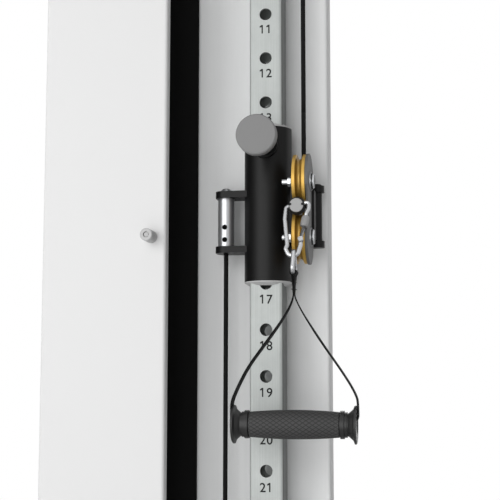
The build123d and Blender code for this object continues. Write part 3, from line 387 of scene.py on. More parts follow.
# %% Finishes of the tower, the rail and the carriage
white_coat = finish("white_coat", grey(219), 0.5, grain, spread=0.012, shine=0.3, Grain=1100.0)
panel_coat = finish("panel_coat", (226, 227, 227), 0.6, brushed, spread=0.045, shine=0.25,
                    Along=(260, 260, 14), bump=0.03)
inner_coat = finish("inner_coat", grey(90), 0.6, grain, spread=0.06)
black_liner = finish("black_liner", grey(30), 0.9, grain, spread=0.1, shine=0.1)
black_coat = finish("black_coat", grey(14), 0.42, grain, spread=0.12, shine=0.16, Grain=1000.0,
                    bump=0.08)
plate_coat = finish("plate_coat", grey(98), 0.55, grain, spread=0.06, shine=0.2)
# low leaves the rail's sides at 0.3 of the colour: painted shade.
rail_plate = finish("rail_plate", (187, 191, 189), 0.5, side_shaded, metal=0.1, spread=0.04, shine=0.2,
                    low=0.3, bump=0.06)
cap_grey = finish("cap_grey", grey(184), 0.5, grain, spread=0.04, shine=0.3)
glide_white = finish("glide_white", grey(205), 0.5, grain, spread=0.04)
knob_grey = finish("knob_grey", grey(130), 0.6, turned, spread=0.02, flatten=(1, 0, 1), shine=0.2,
                   centre=(0, 0, PIN_Z), Rings=1500.0, bump=0.04)

# %% Finishes of metal
polished = finish("polished", (186, 187, 189), 0.26, grain, metal=0.85, spread=0.08, edge=0.25,
                  rough_spread=0.08, bump=0.02, Grain=300.0, Cloud=90.0)
gate_steel = finish("gate_steel", grey(146), 0.42, grain, metal=0.6, spread=0.06, edge=0.4)
anchor_steel = finish("anchor_steel", (176, 177, 179), 0.34, turned, metal=0.75, spread=0.06,
                      flatten=(0, 0, 1), Rings=1800.0)
# Painted highlight and shade: the bolts' rims are bright, and the rest drops to 0.06 of the colour.
bolt_steel = finish("bolt_steel", (206, 208, 210), 0.3, rim_highlights, metal=0.85, spread=0.05, low=0.06,
                    shine=0.2, edge=0.3, centre=(0, WHEEL_Y, (UPPER_Z + LOWER_Z) / 2),
                    Half=(UPPER_Z - LOWER_Z) / 2, From=BLOCK_X, Front=0.0594, Inner=0.0072,
                    Gap=0.0092, Outer=0.0101)
rod_steel = finish("rod_steel", (205, 207, 210), 0.2, brushed, metal=1.0, spread=0.05, bump=0.02)
# The gold wheels: rims painted brighter as highlights, the middle darker as painted shade.
upper_gold, lower_gold = (
    finish(name, (184, 147, 68), 0.38, rim_highlights, metal=0.55, spread=0.1, low=0.62, bump=0.1,
           centre=(0, WHEEL_Y, z), Outer=0.0308)
    for name, z in (("upper_gold", UPPER_Z), ("lower_gold", LOWER_Z)))
cast_iron = finish("cast_iron", grey(84), 0.6, stacked, spread=0.1, low=0.1, bump=0.3)

# %% Finishes of plastic, rubber, rope and paint
ball_rubber = finish("ball_rubber", grey(30), 0.6, grain, spread=0.1, shine=0.2, Grain=1600.0)
disc_grey = finish("disc_grey", grey(158), 0.5, turned, spread=0.05, flatten=(1, 0, 1), shine=0.3,
                   centre=(BALL.x, 0, BALL.z), Rings=1600.0)
dark_plastic = finish("dark_plastic", grey(36), 0.42, grain, shine=0.3, Grain=1300.0, bump=0.1)
# low darkens the knurl's grooves to 0.2 of the colour: painted shade.
grip_rubber = finish("grip_rubber", grey(60), 0.55, knurl, spread=0.15, shine=0.25, low=0.2,
                     bump=0.2)
pulley_nylon = finish("pulley_nylon", grey(48), 0.5, turned, spread=0.1, flatten=(1, 0, 1),
                      centre=(STACK_X, 0, FLOAT_Z), Rings=700.0)
buffer_rubber = finish("buffer_rubber", grey(36), 0.75, grain, spread=0.1)
rope_braid = finish("rope_braid", grey(16), 0.8, braid, spread=0.4, bump=0.6, shine=0.12,
                    depth=0.0004, Along=150.0)
web_weave = finish("web_weave", grey(18), 0.85, braid, spread=0.4, bump=0.7, depth=0.0004,
                   shine=0.15, Around=12.0, Along=320.0)
thread_black = finish("thread_black", grey(40), 0.7, grain, spread=0.15, shine=0.2, Grain=2500.0)
ink = finish("ink", grey(22), 0.6, grain, spread=0.1, shine=0.2)
plate_paint = finish("plate_paint", grey(205), 0.6, grain, spread=0.05)
socket_black = finish("socket_black", grey(10), 0.8, grain, spread=0.1, shine=0.05)
print("materials:", len(bpy.data.materials))

# %% Give every solid its finish
SOLID_FINISH = {
    white_coat: "stack_cover head_cover base_cover",
    panel_coat: "rail_panel",
    inner_coat: "back_plate head_frame base_frame rail_standoffs",
    black_liner: "stack_liner",
    rail_plate: "slide_rail",
    black_coat: "carriage_sleeve plunger_housing left_bracket right_bracket swivel_pin"
                " swivel_barrel float_bracket",
    plate_coat: "side_plates",
    cap_grey: "sleeve_caps accessory_peg",
    glide_white: "glide_pads",
    knob_grey: "pull_knob",
    anchor_steel: "rope_anchor",
    polished: "anchor_fasteners plunger_pin carabiner_body carabiner_gate handle_link"
              " selector_pin",
    gate_steel: "gate_sleeve",
    bolt_steel: "wheel_fasteners wheel_bushes pulley_axles",
    rod_steel: "guide_rods selector_stem",
    upper_gold: "upper_wheel",
    lower_gold: "lower_wheel",
    ball_rubber: "ball_stop",
    disc_grey: "ball_face",
    dark_plastic: "handle_core",
    grip_rubber: "hand_grip",
    pulley_nylon: "float_pulley head_pulley_right head_pulley_middle head_pulley_left"
                  " base_pulley_left base_pulley_right",
    cast_iron: "resting_plates lifted_plates",
    buffer_rubber: "stack_buffers",
    rope_braid: "rope_head rope_return rope_float rope_stack rope_right rope_left rope_lead"
                " rope_end",
    web_weave: "handle_strap",
}
for material, names in SOLID_FINISH.items():
    for name in names.split():
        nodes[name].data.materials.clear()
        nodes[name].data.materials.append(material)
dressed = sum(len(names.split()) for names in SOLID_FINISH.values())
print("solids with a finish:", dressed, "of", len(nodes))


# %% [markdown]
# ## Ropes
# The pull rope is a braided cord of 5.6 mm. It runs taut from wheel to wheel
# and turns in their grooves, so a tube along those runs is its true shape.
# The braid needs to know how far along and how far round each point is, so
# the tube carries its own UV map: u goes once round, v counts metres.

# %% Mesh helpers
def add_mesh(name, points, faces, material, uvs=None, smooth=True):
    """A mesh object at the origin; uvs is one (u, v) for each corner."""
    mesh = bpy.data.meshes.new(name)
    mesh.from_pydata(points, [], faces)
    if uvs:
        layer = mesh.uv_layers.new(name="UVMap")
        for corner, uv in zip(layer.data, uvs):
            corner.uv = uv
    mesh.polygons.foreach_set("use_smooth", [smooth] * len(mesh.polygons))
    mesh.materials.append(material)
    return new_object(name, mesh)


def bands(rings, sides):
    """The faces between rings of points that follow each other."""
    return [(a + i, a + (i + 1) % sides, b + (i + 1) % sides, b + i)
            for a, b in zip(rings, rings[1:]) for i in range(sides)]


def tube(count, sides):
    """The faces of a closed tube: its bands, then its two flat ends."""
    starts = [n * sides for n in range(count)]
    low, high = (range(start, start + sides) for start in (starts[0], starts[-1]))
    return bands(starts, sides) + [tuple(reversed(low)), tuple(high)]


def fit(piece, body, slot, *solids):
    """Let a piece ride on a body and hide the solids it stands for."""
    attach(piece, body)
    if solids:
        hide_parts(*solids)
    print(piece.name, "rides on", body, "with", len(piece.data.polygons), "faces")


# %% Path helpers
X_SIDE = Vector((1, 0, 0))
FRONT_SIDE = Vector((0, -1, 0))


def arc(centre, radius, start, end, steps, y=ROPE_Y):
    """Points on an arc in an upright plane along X, angles in degrees."""
    spots = []
    for n in range(steps + 1):
        angle = math.radians(start + (end - start) * n / steps)
        spots.append(Vector((centre[0] + radius * math.cos(angle), y,
                             centre[1] + radius * math.sin(angle))))
    return spots


def fill(path, step):
    """The same path with a point at least every step."""
    spots = [Vector(path[0])]
    for a, b in zip(path, path[1:]):
        a, b = Vector(a), Vector(b)
        count = max(1, math.ceil((b - a).length / step))
        spots += [a.lerp(b, n / count) for n in range(1, count + 1)]
    return spots


def sweep(name, path, outline, material, side=FRONT_SIDE, twist=None):
    """An outline of (across, through) points carried along a path, ends closed.

    twist gives, for a point of the path, how far side is turned about the upright.
    """
    count = len(outline)
    points, lengths = [], [0.0]
    for a, b in zip(path, path[1:]):
        lengths.append(lengths[-1] + (b - a).length)
    for n, spot in enumerate(path):
        ahead = (path[min(n + 1, len(path) - 1)] - path[max(n - 1, 0)]).normalized()
        aim = Matrix.Rotation(twist(spot), 3, "Z") @ side if twist else side
        across = (aim - aim.dot(ahead) * ahead).normalized()
        through = ahead.cross(across)
        points += [spot + across * p + through * q for p, q in outline]
    uvs = []
    for v0, v1 in zip(lengths, lengths[1:]):
        for i in range(count):
            u0, u1 = i / count, (i + 1) / count
            uvs += [(u0, v0), (u1, v0), (u1, v1), (u0, v1)]
    uvs += [(0.5, lengths[0])] * count + [(0.5, lengths[-1])] * count
    return add_mesh(name, points, tube(len(path), count), material, uvs)


def rope(name, path, step=0.02, side=FRONT_SIDE, sides=12):
    """A braided rope along a path."""
    outline = [(ROPE_R * math.cos(math.tau * n / sides), ROPE_R * math.sin(math.tau * n / sides))
               for n in range(sides)]
    return sweep(name, fill(path, step), outline, rope_braid, side)


# %% [markdown]
# The runs on the tower stand still: over the two head pulleys on the pull
# side, and over the left one, down the tower and round the base pulleys.

# %% Ropes that stand still
HEAD_Z = 2.045
BASE_Z = 0.022
LEFT_X = -0.052
PULLEY_R = 0.026
TURN_R = 0.022
head_right = (BLOCK_X - PULLEY_R, HEAD_Z)
head_middle = (STACK_X + 2 * PULLEY_R, HEAD_Z)
head_left = (STACK_X - PULLEY_R - TURN_R, HEAD_Z)
base_left = (head_left[0] - TURN_R + PULLEY_R, BASE_Z)
base_right = (LEFT_X - PULLEY_R, BASE_Z)

over_head = arc(head_right, PULLEY_R, 0, 90, 10) + arc(head_middle, PULLEY_R, 90, 180, 10)
fit(rope("rope_over_head", over_head), "tower", "rope_cord", "rope_head")
down_tower = (arc(head_left, TURN_R, 0, 180, 20) + arc(base_left, PULLEY_R, 180, 270, 10)
              + arc(base_right, PULLEY_R, 270, 360, 10))
fit(rope("rope_down_tower", down_tower), "tower", "rope_cord", "rope_return")
under_float = arc((STACK_X, FLOAT_Z), PULLEY_R, 180, 360, 20)
fit(rope("rope_under_float", under_float), "stack", "rope_cord", "rope_float")


# %% [markdown]
# The other runs grow and shrink as the carriage, the block or the weights
# move. Each is made here as a straight run where it is now, and baked in place.

# %% Ropes that change length
def stretch_rope(piece, path, first, second, *solids):
    """Hide the solids that a rope stands for and bake its place into its mesh."""
    if solids:
        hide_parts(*solids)
    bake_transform(piece)
    print(piece.name, "stretches between", first, "and", second)


SWIVEL_RUN = 0.09
above_block = (BLOCK_X, ROPE_Y, UPPER_Z + SWIVEL_RUN)
run_down = [(BLOCK_X, ROPE_Y, HEAD_Z), above_block]
stretch_rope(rope("rope_right_run", run_down), run_down, "tower", "carriage", "rope_right")
run_in = [above_block, (BLOCK_X, ROPE_Y, UPPER_Z)]
stretch_rope(rope("rope_into_block", run_in), run_in, "carriage", "pulley_block")
run_up = [(LEFT_X, ROPE_Y, BASE_Z), (LEFT_X, -0.070, on_pin(-118.5))]
stretch_rope(rope("rope_left_run", run_up), run_up, "tower", "carriage", "rope_left")
for side, x, solids in (("right", STACK_X + PULLEY_R, ["rope_stack"]),
                        ("left", STACK_X - PULLEY_R, [])):
    strand = [(x, ROPE_Y, HEAD_Z), (x, ROPE_Y, FLOAT_Z)]
    stretch_rope(rope("rope_stack_" + side, strand), strand, "tower", "stack", *solids)

# %% [markdown]
# Between the two wheels the rope goes round the back of the upper wheel and
# comes out to the ball. Where it leaves the wheel follows from the straight
# line that touches the wheel and ends in the middle of the ball.

# %% Rope round the upper wheel
WHEEL_STEPS = 32
reach_y = BALL.y - WHEEL_Y
reach_z = BALL.z - UPPER_Z
leave = math.atan2(reach_z, reach_y) + math.acos(WHEEL_ROPE_R / math.hypot(reach_y, reach_z))
turn = math.degrees(leave) % 360 - 360
wheel_path = []
for n in range(WHEEL_STEPS + 1):
    angle = math.radians(turn * n / WHEEL_STEPS)
    wheel_path.append(Vector((BLOCK_X, WHEEL_Y + WHEEL_ROPE_R * math.cos(angle),
                              UPPER_Z + WHEEL_ROPE_R * math.sin(angle))))
fit(rope("rope_round_wheel", wheel_path, side=X_SIDE), "pulley_block", "rope_cord", "rope_lead")
leave_point = wheel_path[-1]
pull_path = [leave_point, BALL.lerp(leave_point, 0.3)]
stretch_rope(rope("rope_to_ball", pull_path, 0.003, X_SIDE), pull_path, "pulley_block",
             "rope_ball", "rope_end")
print("the rope leaves the wheel at", [round(c, 4) for c in leave_point])

# %% [markdown]
# ## The webbing
# One strap of black webbing, 18 mm wide, comes up from one end of the
# handle, goes round the bar of the steel link and down to the other end.
# Corner cutting turns the drawn corners into the soft bends of real webbing:
# each pass replaces a corner by two points nearer to it. The corners are
# drawn as X in metres and a height from the pull pin in millimetres.

# %% Strap
WEB_W = 0.018
WEB_T = 0.0015
HANDLE_X = 0.0424
HANDLE_Z = on_pin(-328)
HANDLE_L = 0.1384
LINK_Y = hook_y(-139.4)
LINK_BAR_Z = on_pin(-159)
LINK_R = 0.0023
TWIST = math.radians(7.2)
TWIST_Z = on_pin(-184)


def cut_corners(corners, passes=3):
    """A smooth line near the drawn corners that starts and ends where they do."""
    line = [Vector((x, LINK_Y, on_pin(z))) for x, z in corners]
    for _ in range(passes):
        cut = [line[0]]
        for a, b in zip(line, line[1:]):
            cut += [a.lerp(b, 0.25), a.lerp(b, 0.75)]
        line = cut + [line[-1]]
    return line


def strap_outline(width, thickness, steps=4):
    """A flat bar whose long edges are round."""
    half, r = width / 2 - thickness / 2, thickness / 2
    points = []
    for side in (1, -1):
        for n in range(steps + 1):
            angle = math.pi * (n / steps - 0.5) + (0 if side > 0 else math.pi)
            points.append((side * half + r * math.cos(angle), r * math.sin(angle)))
        points += [(side * half * f, side * r) for f in (0.6, 0.2, -0.2, -0.6)]
    return points


def strap_twist(spot):
    """The two layers turn a little on themselves just below the link."""
    away = spot.z - TWIST_Z
    reach = 0.020 if away > 0 else 0.045
    return TWIST * max(0.0, 1 - abs(away) / reach)


half_web = WEB_T / 2
end = HANDLE_L / 2 + half_web + 0.0006
right_side = [(HANDLE_X + 0.04, -328), (HANDLE_X + end, -328), (HANDLE_X + end, -306),
              (0.1116, -296), (0.0984, -273.4), (0.0708, -234.5),
              (HANDLE_X + half_web, -190), (HANDLE_X + half_web, -176)]
left_side = [(HANDLE_X - half_web, -176), (HANDLE_X - half_web, -190), (0.0296, -212),
             (0.0088, -240), (-0.0096, -264.6), (-0.0202, -285), (-0.0269, -300),
             (HANDLE_X - end, -307), (HANDLE_X - end, -328), (HANDLE_X - 0.04, -328)]
round_bar = arc((HANDLE_X, LINK_BAR_Z), LINK_R + 0.0003 + half_web, -60, 240, 16, y=LINK_Y)
strap_path = cut_corners(right_side) + round_bar + cut_corners(left_side)
strap = sweep("webbing_strap", strap_path, strap_outline(WEB_W, WEB_T), web_weave,
              twist=strap_twist)
fit(strap, "handle", "webbing", "handle_strap")

# %% [markdown]
# ## The grip
# The rubber grip swells in the middle and is covered in a diamond knurl. The
# knurl catches the light on its edges, so it is real shape and not a bump:
# two families of helical grooves cross, and the surface is lowest in them.
# The skin runs from the bore at one end over the outside back into the bore.

# %% Knurled grip
GRIP_HALF = 0.050
GRIP_END_R = 0.0140
GRIP_MID_R = 0.01615
GRIP_BORE_R = 0.01215
KNURL_DEPTH = 0.0007
KNURL_FADE = 0.003
GRIP_RINGS = 190
GRIP_SIDES = 180
LAND = (0.5 / KNURLS_ROUND, 0.0)


def grip_radius(along, share):
    """The knurled side of the grip at a place along it and a share of a turn."""
    rise = GRIP_MID_R - GRIP_END_R
    big = (GRIP_HALF ** 2 + rise ** 2) / (2 * rise)
    swell = GRIP_MID_R - big + math.sqrt(big ** 2 - along ** 2)
    fade = min(1.0, (GRIP_HALF - abs(along)) / KNURL_FADE)
    first = math.pi * (KNURLS_ROUND * share + along / KNURL_PITCH)
    second = math.pi * (KNURLS_ROUND * share - along / KNURL_PITCH)
    top = min(abs(math.sin(first)), abs(math.sin(second)))
    return swell - KNURL_DEPTH * fade * (1 - min(1.0, 3.0 * top))


places = [GRIP_HALF * (2 * n / GRIP_RINGS - 1) for n in range(GRIP_RINGS + 1)]
points = []
for n, along in enumerate([places[0]] + places + [places[-1]]):
    for i in range(GRIP_SIDES):
        angle = math.tau * i / GRIP_SIDES
        outside = 0 < n <= len(places)
        r = grip_radius(along, i / GRIP_SIDES) if outside else GRIP_BORE_R
        points.append((HANDLE_X + along, LINK_Y + r * math.cos(angle), HANDLE_Z + r * math.sin(angle)))
uvs = [LAND] * (4 * GRIP_SIDES)
for low, high in zip(places, places[1:]):
    for i in range(GRIP_SIDES):
        left, right = i / GRIP_SIDES, (i + 1) / GRIP_SIDES
        uvs += [(left, low), (right, low), (right, high), (left, high)]
uvs += [LAND] * (8 * GRIP_SIDES)
starts = [n * GRIP_SIDES for n in range(len(places) + 2)]
knurled = add_mesh("knurled_grip", points, bands(starts + [0], GRIP_SIDES), grip_rubber, uvs)
fit(knurled, "grip", "grip_rubber", "hand_grip")

# %% [markdown]
# ## Numbers on the rail
# Each hole has its number printed below it, from 1 at the top, so that the
# user finds the same height again. A text object is turned into a mesh, laid
# a tenth of a millimetre in front of the rail and given that much thickness.

# %% Hole numbers
RAIL_FRONT = -0.090
HOLE_PITCH = 0.055
HOLES = 33
PIN_HOLE = 14
TOP_HOLE_Z = PIN_Z + (PIN_HOLE - 1) * HOLE_PITCH
NUMBER_DROP = 0.0240
RAIL_DIGIT = 0.0150
DIGIT_WEIGHT = 0.0002
DIGIT_STEP = 0.55
PRINT_GAP = 0.0001
PRINT_T = 0.00009


def digit_shape(digit, size):
    """Points and faces of one digit in its own XY plane, centred on X.

    The built-in font's 1 has no flag, so it is drawn here as two strokes.
    """
    if digit == "1":
        half, top, reach = 0.055 * size, 0.71 * size, 0.21 * size
        points = [(-half, 0), (half, 0), (half, top), (-half, top), (-half - 0.01 * size, 0.53 * size),
                  (-reach, 0.50 * size), (-reach, 0.60 * size)]
        return points, [(0, 1, 2, 3), (3, 6, 5, 4)]
    curve = bpy.data.curves.new("digit", "FONT")
    curve.body = digit
    curve.size = size
    curve.offset = DIGIT_WEIGHT
    curve.align_x = "CENTER"
    host = new_object("digit", curve)
    bpy.context.view_layer.update()
    mesh = bpy.data.meshes.new_from_object(host.evaluated_get(bpy.context.evaluated_depsgraph_get()))
    bpy.data.objects.remove(host)
    shape = [(v.co.x, v.co.y) for v in mesh.vertices], [tuple(f.vertices) for f in mesh.polygons]
    bpy.data.meshes.remove(mesh)
    return shape


def printed_numbers(name, size, numbers, material):
    """A mesh of (number, place) pairs; place turns flat (x, y) into a point."""
    points, faces = [], []
    for number, place in numbers:
        word = str(number)
        for n, digit in enumerate(word):
            flat, cells = digit_shape(digit, size)
            shift = (n - (len(word) - 1) / 2) * DIGIT_STEP * size
            faces += [tuple(len(points) + v for v in cell) for cell in cells]
            points += [place(x + shift, y) for x, y in flat]
    piece = add_mesh(name, points, faces, material, smooth=False)
    body = piece.modifiers.new("thickness", "SOLIDIFY")
    body.thickness = PRINT_T
    body.offset = -1.0
    return piece


def on_rail(z):
    """The front of the rail as a page whose foot is at height z."""
    return lambda x, y: (x, RAIL_FRONT - PRINT_GAP, z + y)


rail_numbers = printed_numbers("rail_numbers", RAIL_DIGIT, [
    (n + 1, on_rail(TOP_HOLE_Z - n * HOLE_PITCH - NUMBER_DROP)) for n in range(HOLES)], ink)
fit(rail_numbers, "tower", "black_paint")

# %% [markdown]
# ## Numbers on the weights
# Every weight plate has its number painted on the edge that faces the slot,
# so that the user can count what the pin picks up. The lifted plates carry
# their numbers with them.

# %% Weight numbers
PLATES = 14
LIFTED = 5
PLATE_EDGE_X = STACK_X + 0.062
NUMBER_Y = ROPE_Y - 0.030
NUMBER_FOOT = 0.36
WEIGHT_DIGIT = 0.012


def on_plate(level):
    """The right-hand edge of a plate as a page; level 0 is the lowest plate."""
    z = STACK_FOOT + (level + NUMBER_FOOT) * PLATE_H
    return lambda x, y: (PLATE_EDGE_X + PRINT_GAP, NUMBER_Y + x, z + y)


for name, levels, body in (("resting_numbers", range(PLATES - LIFTED), "tower"),
                           ("lifted_numbers", range(PLATES - LIFTED, PLATES), "stack")):
    numbers = [(PLATES - level, on_plate(level)) for level in levels]
    fit(printed_numbers(name, WEIGHT_DIGIT, numbers, plate_paint), body, "light_plastic")


# %% [markdown]
# ## Pieces that start from a solid's own mesh
# The carabiner, its gate and the link are right in shape, but in the picture
# their wire looks a little stouter. A copy of each solid's mesh is merged,
# so that its faces share their corners, and each point moves outwards along
# its normal by a fraction of a millimetre. Next to the gate's free end the
# wire stays as it is, so that the gate can still open.

# %% Stouter wire
def on_hook(x_mm, z_mm):
    """A point of the carabiner's leaning plane from its X and drawing height."""
    return Vector((x_mm / 1000, hook_y(z_mm), on_pin(z_mm)))


WIRE_MORE = 0.0004
GATE_MORE = 1.3 * WIRE_MORE
LINK_MORE = 0.0001
CLEAR = 0.010
gate_foot = on_hook(49.4, -120.9)
gate_top = on_hook(54.6, -93.5)


def merged_copy(name, node, keep=None):
    """A copy of a solid's mesh with shared corners; keep picks faces by centre."""
    mesh = nodes[node].data.copy()
    mesh.name = name
    work = bmesh.new()
    work.from_mesh(mesh)
    bmesh.ops.remove_doubles(work, verts=work.verts, dist=1e-6)
    if keep:
        drop = [f for f in work.faces if not keep(f.calc_center_median())]
        bmesh.ops.delete(work, geom=drop, context="FACES")
    work.normal_update()
    work.to_mesh(mesh)
    work.free()
    return new_object(name, mesh)


def stouter(name, node, body, amount):
    """The solid's mesh grown by an amount, but not next to the gate's free end."""
    piece = merged_copy(name, node)
    normals = [v.normal.copy() for v in piece.data.vertices]
    for vertex, normal in zip(piece.data.vertices, normals):
        share = min(1.0, (vertex.co - gate_top).length / CLEAR - 0.3)
        vertex.co += normal * amount * max(share, 0.0)
    fit(piece, body, "bright_steel", node)


stouter("carabiner_wire", "carabiner_body", "carabiner", WIRE_MORE)
stouter("gate_wire", "carabiner_gate", "gate", GATE_MORE)
stouter("link_ring", "handle_link", "handle", LINK_MORE)


# %% [markdown]
# ## The plates of the pulley block
# The outer plate is broad and waisted round the ball. On the side of the
# sleeve there is only a narrow strap, so the wheel's rim and the nuts show.

# %% Block plates
STRAP_R = 0.0115
STRAP_X = (0.034, 0.037)


def pill_outline(radius, low, high, steps=14):
    """A flat bar with round ends in the YZ plane, about the wheels' line."""
    points = []
    for centre, start in ((high, 0.0), (low, math.pi)):
        for n in range(steps + 1):
            angle = start + math.pi * n / steps
            points.append((WHEEL_Y + radius * math.cos(angle), centre + radius * math.sin(angle)))
    return points


outer_plate = merged_copy("outer_plate", "side_plates", lambda centre: centre.x > BLOCK_X)
fit(outer_plate, "pulley_block", "dark_plate", "side_plates")
outline = pill_outline(STRAP_R, LOWER_Z, UPPER_Z)
points = [(x, y, z) for x in STRAP_X for y, z in outline]
# The strap takes the sleeve's black, not the outer plate's grey: painted shade on the block's inner
# side.
inner_strap = add_mesh("inner_strap", points, tube(2, len(outline)), black_coat, smooth=False)
fit(inner_strap, "pulley_block", "dark_plate")


# %% [markdown]
# ## The ball's face
# The ball is made in two halves. Its front shows a light disc with a notch
# at each side, where the carabiner's wire goes into the eye.

# %% Notched disc
DISC_FRONT = -0.1445
DISC_T = 0.0012
DISC_EDGE = 0.0004
DISC_R = 0.0080
DISC_STEPS = 96
NOTCH_DEEP = 0.0022
NOTCH_HALF = 11
NOTCHES_AT = (8, 172)


def disc_radius(step):
    """The disc's radius at a step round it, drawn in at the two notches."""
    angle = 360 * step / DISC_STEPS
    away = min(abs((angle - middle + 180) % 360 - 180) for middle in NOTCHES_AT)
    return DISC_R - (NOTCH_DEEP if away < NOTCH_HALF else 0)


points = []
for y, shrink in ((DISC_FRONT + DISC_T, 1.0), (DISC_FRONT + DISC_EDGE, 1.0), (DISC_FRONT, 0.95)):
    for n in range(DISC_STEPS):
        angle = math.tau * n / DISC_STEPS
        r = disc_radius(n) * shrink
        points.append((BALL.x + r * math.cos(angle), y, BALL.z + r * math.sin(angle)))
notched = add_mesh("ball_disc", points, tube(3, DISC_STEPS), disc_grey, smooth=False)
fit(notched, "rope_ball", "light_plastic", "ball_face")


# %% [markdown]
# ## Small things in rows and rings
# Screws in the covers, the flutes of the gate sleeve and the stitches of the
# webbing are one small shape, repeated. Geometry Nodes can do that: a line or
# a ring of points, the shape on each, made real at the end and given its
# material. The tree is built once and its inputs say where and how many.

# %% Trees that repeat a piece
def tree_with(name, **inputs):
    """An empty geometry tree with inputs of the given kinds; gives their sockets too."""
    tree = bpy.data.node_groups.new(name, "GeometryNodeTree")
    for title, kind in dict(inputs, Piece="Object", Material="Material").items():
        tree.interface.new_socket(title, in_out="INPUT", socket_type="NodeSocket" + kind)
    tree.interface.new_socket("Mesh", in_out="OUTPUT", socket_type="NodeSocketGeometry")
    return tree, tree.nodes.new("NodeGroupInput").outputs


def finish_tree(tree, given, points, rotation=None):
    """Put the piece on the points, make it real and give it its material."""
    info = tree.nodes.new("GeometryNodeObjectInfo")
    info.inputs["As Instance"].default_value = True
    tree.links.new(given["Piece"], info.inputs["Object"])
    place = tree.nodes.new("GeometryNodeInstanceOnPoints")
    tree.links.new(points, place.inputs["Points"])
    tree.links.new(info.outputs["Geometry"], place.inputs["Instance"])
    if rotation:
        tree.links.new(rotation, place.inputs["Rotation"])
    real = tree.nodes.new("GeometryNodeRealizeInstances")
    paint = tree.nodes.new("GeometryNodeSetMaterial")
    out = tree.nodes.new("NodeGroupOutput")
    tree.links.new(place.outputs[0], real.inputs[0])
    tree.links.new(real.outputs[0], paint.inputs["Geometry"])
    tree.links.new(given["Material"], paint.inputs["Material"])
    tree.links.new(paint.outputs[0], out.inputs["Mesh"])


row_tree, given = tree_with("row_of_pieces", Start="Vector", Step="Vector", Count="Int")
line = row_tree.nodes.new("GeometryNodeMeshLine")
for title, socket in (("Start", "Start Location"), ("Step", "Offset"), ("Count", "Count")):
    row_tree.links.new(given[title], line.inputs[socket])
finish_tree(row_tree, given, line.outputs[0])

ring_tree, given = tree_with("ring_of_pieces", Radius="Float", Count="Int")
circle = ring_tree.nodes.new("GeometryNodeMeshCircle")
ring_tree.links.new(given["Radius"], circle.inputs["Radius"])
ring_tree.links.new(given["Count"], circle.inputs["Vertices"])
position = ring_tree.nodes.new("GeometryNodeInputPosition")
outwards = ring_tree.nodes.new("FunctionNodeAlignRotationToVector")
outwards.axis = "X"
ring_tree.links.new(position.outputs[0], outwards.inputs["Vector"])
finish_tree(ring_tree, given, circle.outputs[0], outwards.outputs[0])


def lathe(profile, sides, axis):
    """Points of a turned shape from (radius, height) pairs, along an axis."""
    points = []
    for r, h in profile:
        for n in range(sides):
            angle = math.tau * n / sides
            x, y = r * math.cos(angle), r * math.sin(angle)
            points.append({"Z": (x, y, h), "Y": (x, -h, y), "X": (h, x, y)}[axis])
    return points


def repeated(name, tree, profile, sides, axis, material, **inputs):
    """Turn a small shape, let a tree repeat it, and keep the result as a plain mesh."""
    seed = add_mesh("seed", lathe(profile, sides, axis), tube(len(profile), sides), material,
                    smooth=False)
    host = new_object("host", bpy.data.meshes.new("host"))
    grow = host.modifiers.new("repeat", "NODES")
    grow.node_group = tree
    inputs.update(Piece=seed, Material=material)
    for item in tree.interface.items_tree:
        if item.in_out == "INPUT":
            grow[item.identifier] = inputs[item.name]
    bpy.context.view_layer.update()
    graph = bpy.context.evaluated_depsgraph_get()
    mesh = bpy.data.meshes.new_from_object(host.evaluated_get(graph))
    mesh.name = name
    for spare in (host, seed):
        bpy.data.objects.remove(spare)
    return new_object(name, mesh)


# %% Cover screws
SCREW_HEAD = ((0.0040, 0.0), (0.0040, 0.0006), (0.0030, 0.0016), (0.0015, 0.0019))
SCREW_X = -0.245
SCREW_STEP = 0.120
COVER_FRONT = -0.138
for name, z in (("cover_screws_low", 0.165), ("cover_screws_high", 1.973)):
    screws = repeated(name, row_tree, SCREW_HEAD, 20, "Y", bolt_steel,
                      Start=(SCREW_X, COVER_FRONT, z), Step=(SCREW_STEP, 0, 0), Count=2)
    fit(screws, "tower", "bright_steel")

# %% Set screws of the rope anchor
DOT = ((0.0031, 0.0), (0.0031, 0.0002), (0.0026, 0.0005))
DOT_STEP = 0.0152
ANCHOR_FRONT = -0.0804
dots = repeated("anchor_screws", row_tree, DOT, 24, "Y", socket_black,
                Start=(LEFT_X, ANCHOR_FRONT, on_pin(-110.3)), Step=(0, 0, DOT_STEP), Count=2)
fit(dots, "carriage", "black_paint")

# %% Flutes of the gate sleeve
SLEEVE_LENGTH = 0.0125
FLUTE = ((0.0005, 0.0), (0.0005, SLEEVE_LENGTH * 0.72))
FLUTE_RING_R = 0.0041
FLUTES = 18
flutes = repeated("sleeve_flutes", ring_tree, FLUTE, 6, "Z", gate_steel, Radius=FLUTE_RING_R,
                  Count=FLUTES)
gate_line = (gate_top - gate_foot).normalized()
turn_up = Vector((0, 0, 1)).rotation_difference(gate_line).to_matrix().to_4x4()
sleeve_foot = gate_top - gate_line * (SLEEVE_LENGTH * 0.86)
flutes.data.transform(Matrix.Translation(sleeve_foot) @ turn_up)
fit(flutes, "gate", "bright_steel")

# %% Stitches of the webbing
STITCH = ((0.0002, -0.0010), (0.00032, 0.0), (0.0002, 0.0010))
STITCHES = 6
STITCH_STEP = 0.003
STITCH_ROWS_Z = (on_pin(-170), on_pin(-178))
for z in STITCH_ROWS_Z:
    for x in (HANDLE_X - WEB_T - PRINT_GAP, HANDLE_X + WEB_T + PRINT_GAP):
        stitches = repeated("stitch_row", row_tree, STITCH, 6, "X", thread_black,
                            Start=(x, LINK_Y - STITCH_STEP * (STITCHES - 1) / 2, z),
                            Step=(0, STITCH_STEP, 0), Count=STITCHES)
        fit(stitches, "handle", "webbing")

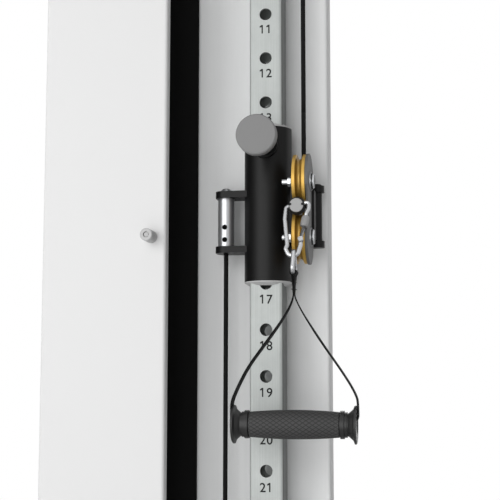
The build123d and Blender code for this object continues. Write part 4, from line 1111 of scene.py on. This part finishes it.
# %% [markdown]
# ## Light, floor and background
# The picture is a plain studio shot on white. Two large lamps stand at the
# left and in front, so the panel darkens towards the cover and the rail. A
# weak one hangs above, and one behind lights the back for whoever walks
# round. The world is white for the camera and for what glass or metal shows,
# and only a soft fill for everything else.

# %% World
WHITE = (1, 1, 1, 1)
FILL = 0.3
world = bpy.data.worlds.new("studio")
bpy.context.scene.world = world
world.use_nodes = True
tree = world.node_tree
tree.nodes.clear()
path_info = tree.nodes.new("ShaderNodeLightPath").outputs
seen = math_node(tree, "MAXIMUM", path_info["Is Camera Ray"], path_info["Is Transmission Ray"])
seen = math_node(tree, "MAXIMUM", seen, path_info["Is Glossy Ray"])
choose = tree.nodes.new("ShaderNodeMixShader")
tree.links.new(seen, choose.inputs[0])
for place, strength in ((1, FILL), (2, 1.0)):
    light = tree.nodes.new("ShaderNodeBackground")
    light.inputs["Color"].default_value = WHITE
    light.inputs["Strength"].default_value = strength
    tree.links.new(light.outputs[0], choose.inputs[place])
world_out = tree.nodes.new("ShaderNodeOutputWorld")
tree.links.new(choose.outputs[0], world_out.inputs[0])


# %% Lamps
def lamp(name, place, target, size, power):
    """A soft rectangular lamp of some watts that faces a target."""
    data = bpy.data.lights.new(name, "AREA")
    data.shape = "RECTANGLE"
    data.size, data.size_y = size
    data.energy = power
    light = new_object(name, data)
    light.location = place
    light.rotation_euler = (Vector(target) - Vector(place)).to_track_quat("-Z", "Y").to_euler()
    print("lamp", name, power, "W")


lamp("key", (-1.5, -2.2, 1.5), (-0.05, -0.08, 1.1), (1.0, 2.2), 26)
lamp("front", (-0.35, -2.9, 1.1), (0, -0.08, 1.1), (1.4, 2.6), 34)
lamp("top", (0, -1.2, 3.4), (0, -0.05, 1.1), (1.6, 1.2), 4)
lamp("back", (-0.1, 2.6, 1.8), (-0.1, 0, 1.1), (1.0, 2.4), 24)

# %% Floor
FLOOR_Z = -0.062
FLOOR_HALF = 3
corners = [(x * FLOOR_HALF, y * FLOOR_HALF, FLOOR_Z) for x, y in ((-1, -1), (1, -1), (1, 1), (-1, 1))]
pale = finish("floor_pale", grey(238), 0.8, grain, spread=0.01)
floor = add_mesh("floor", corners, [(0, 1, 2, 3)], pale, smooth=False)

# %% [markdown]
# ## Finish
# The colour view is set to Standard.

# %% Colour view
bpy.context.scene.view_settings.view_transform = "Standard"
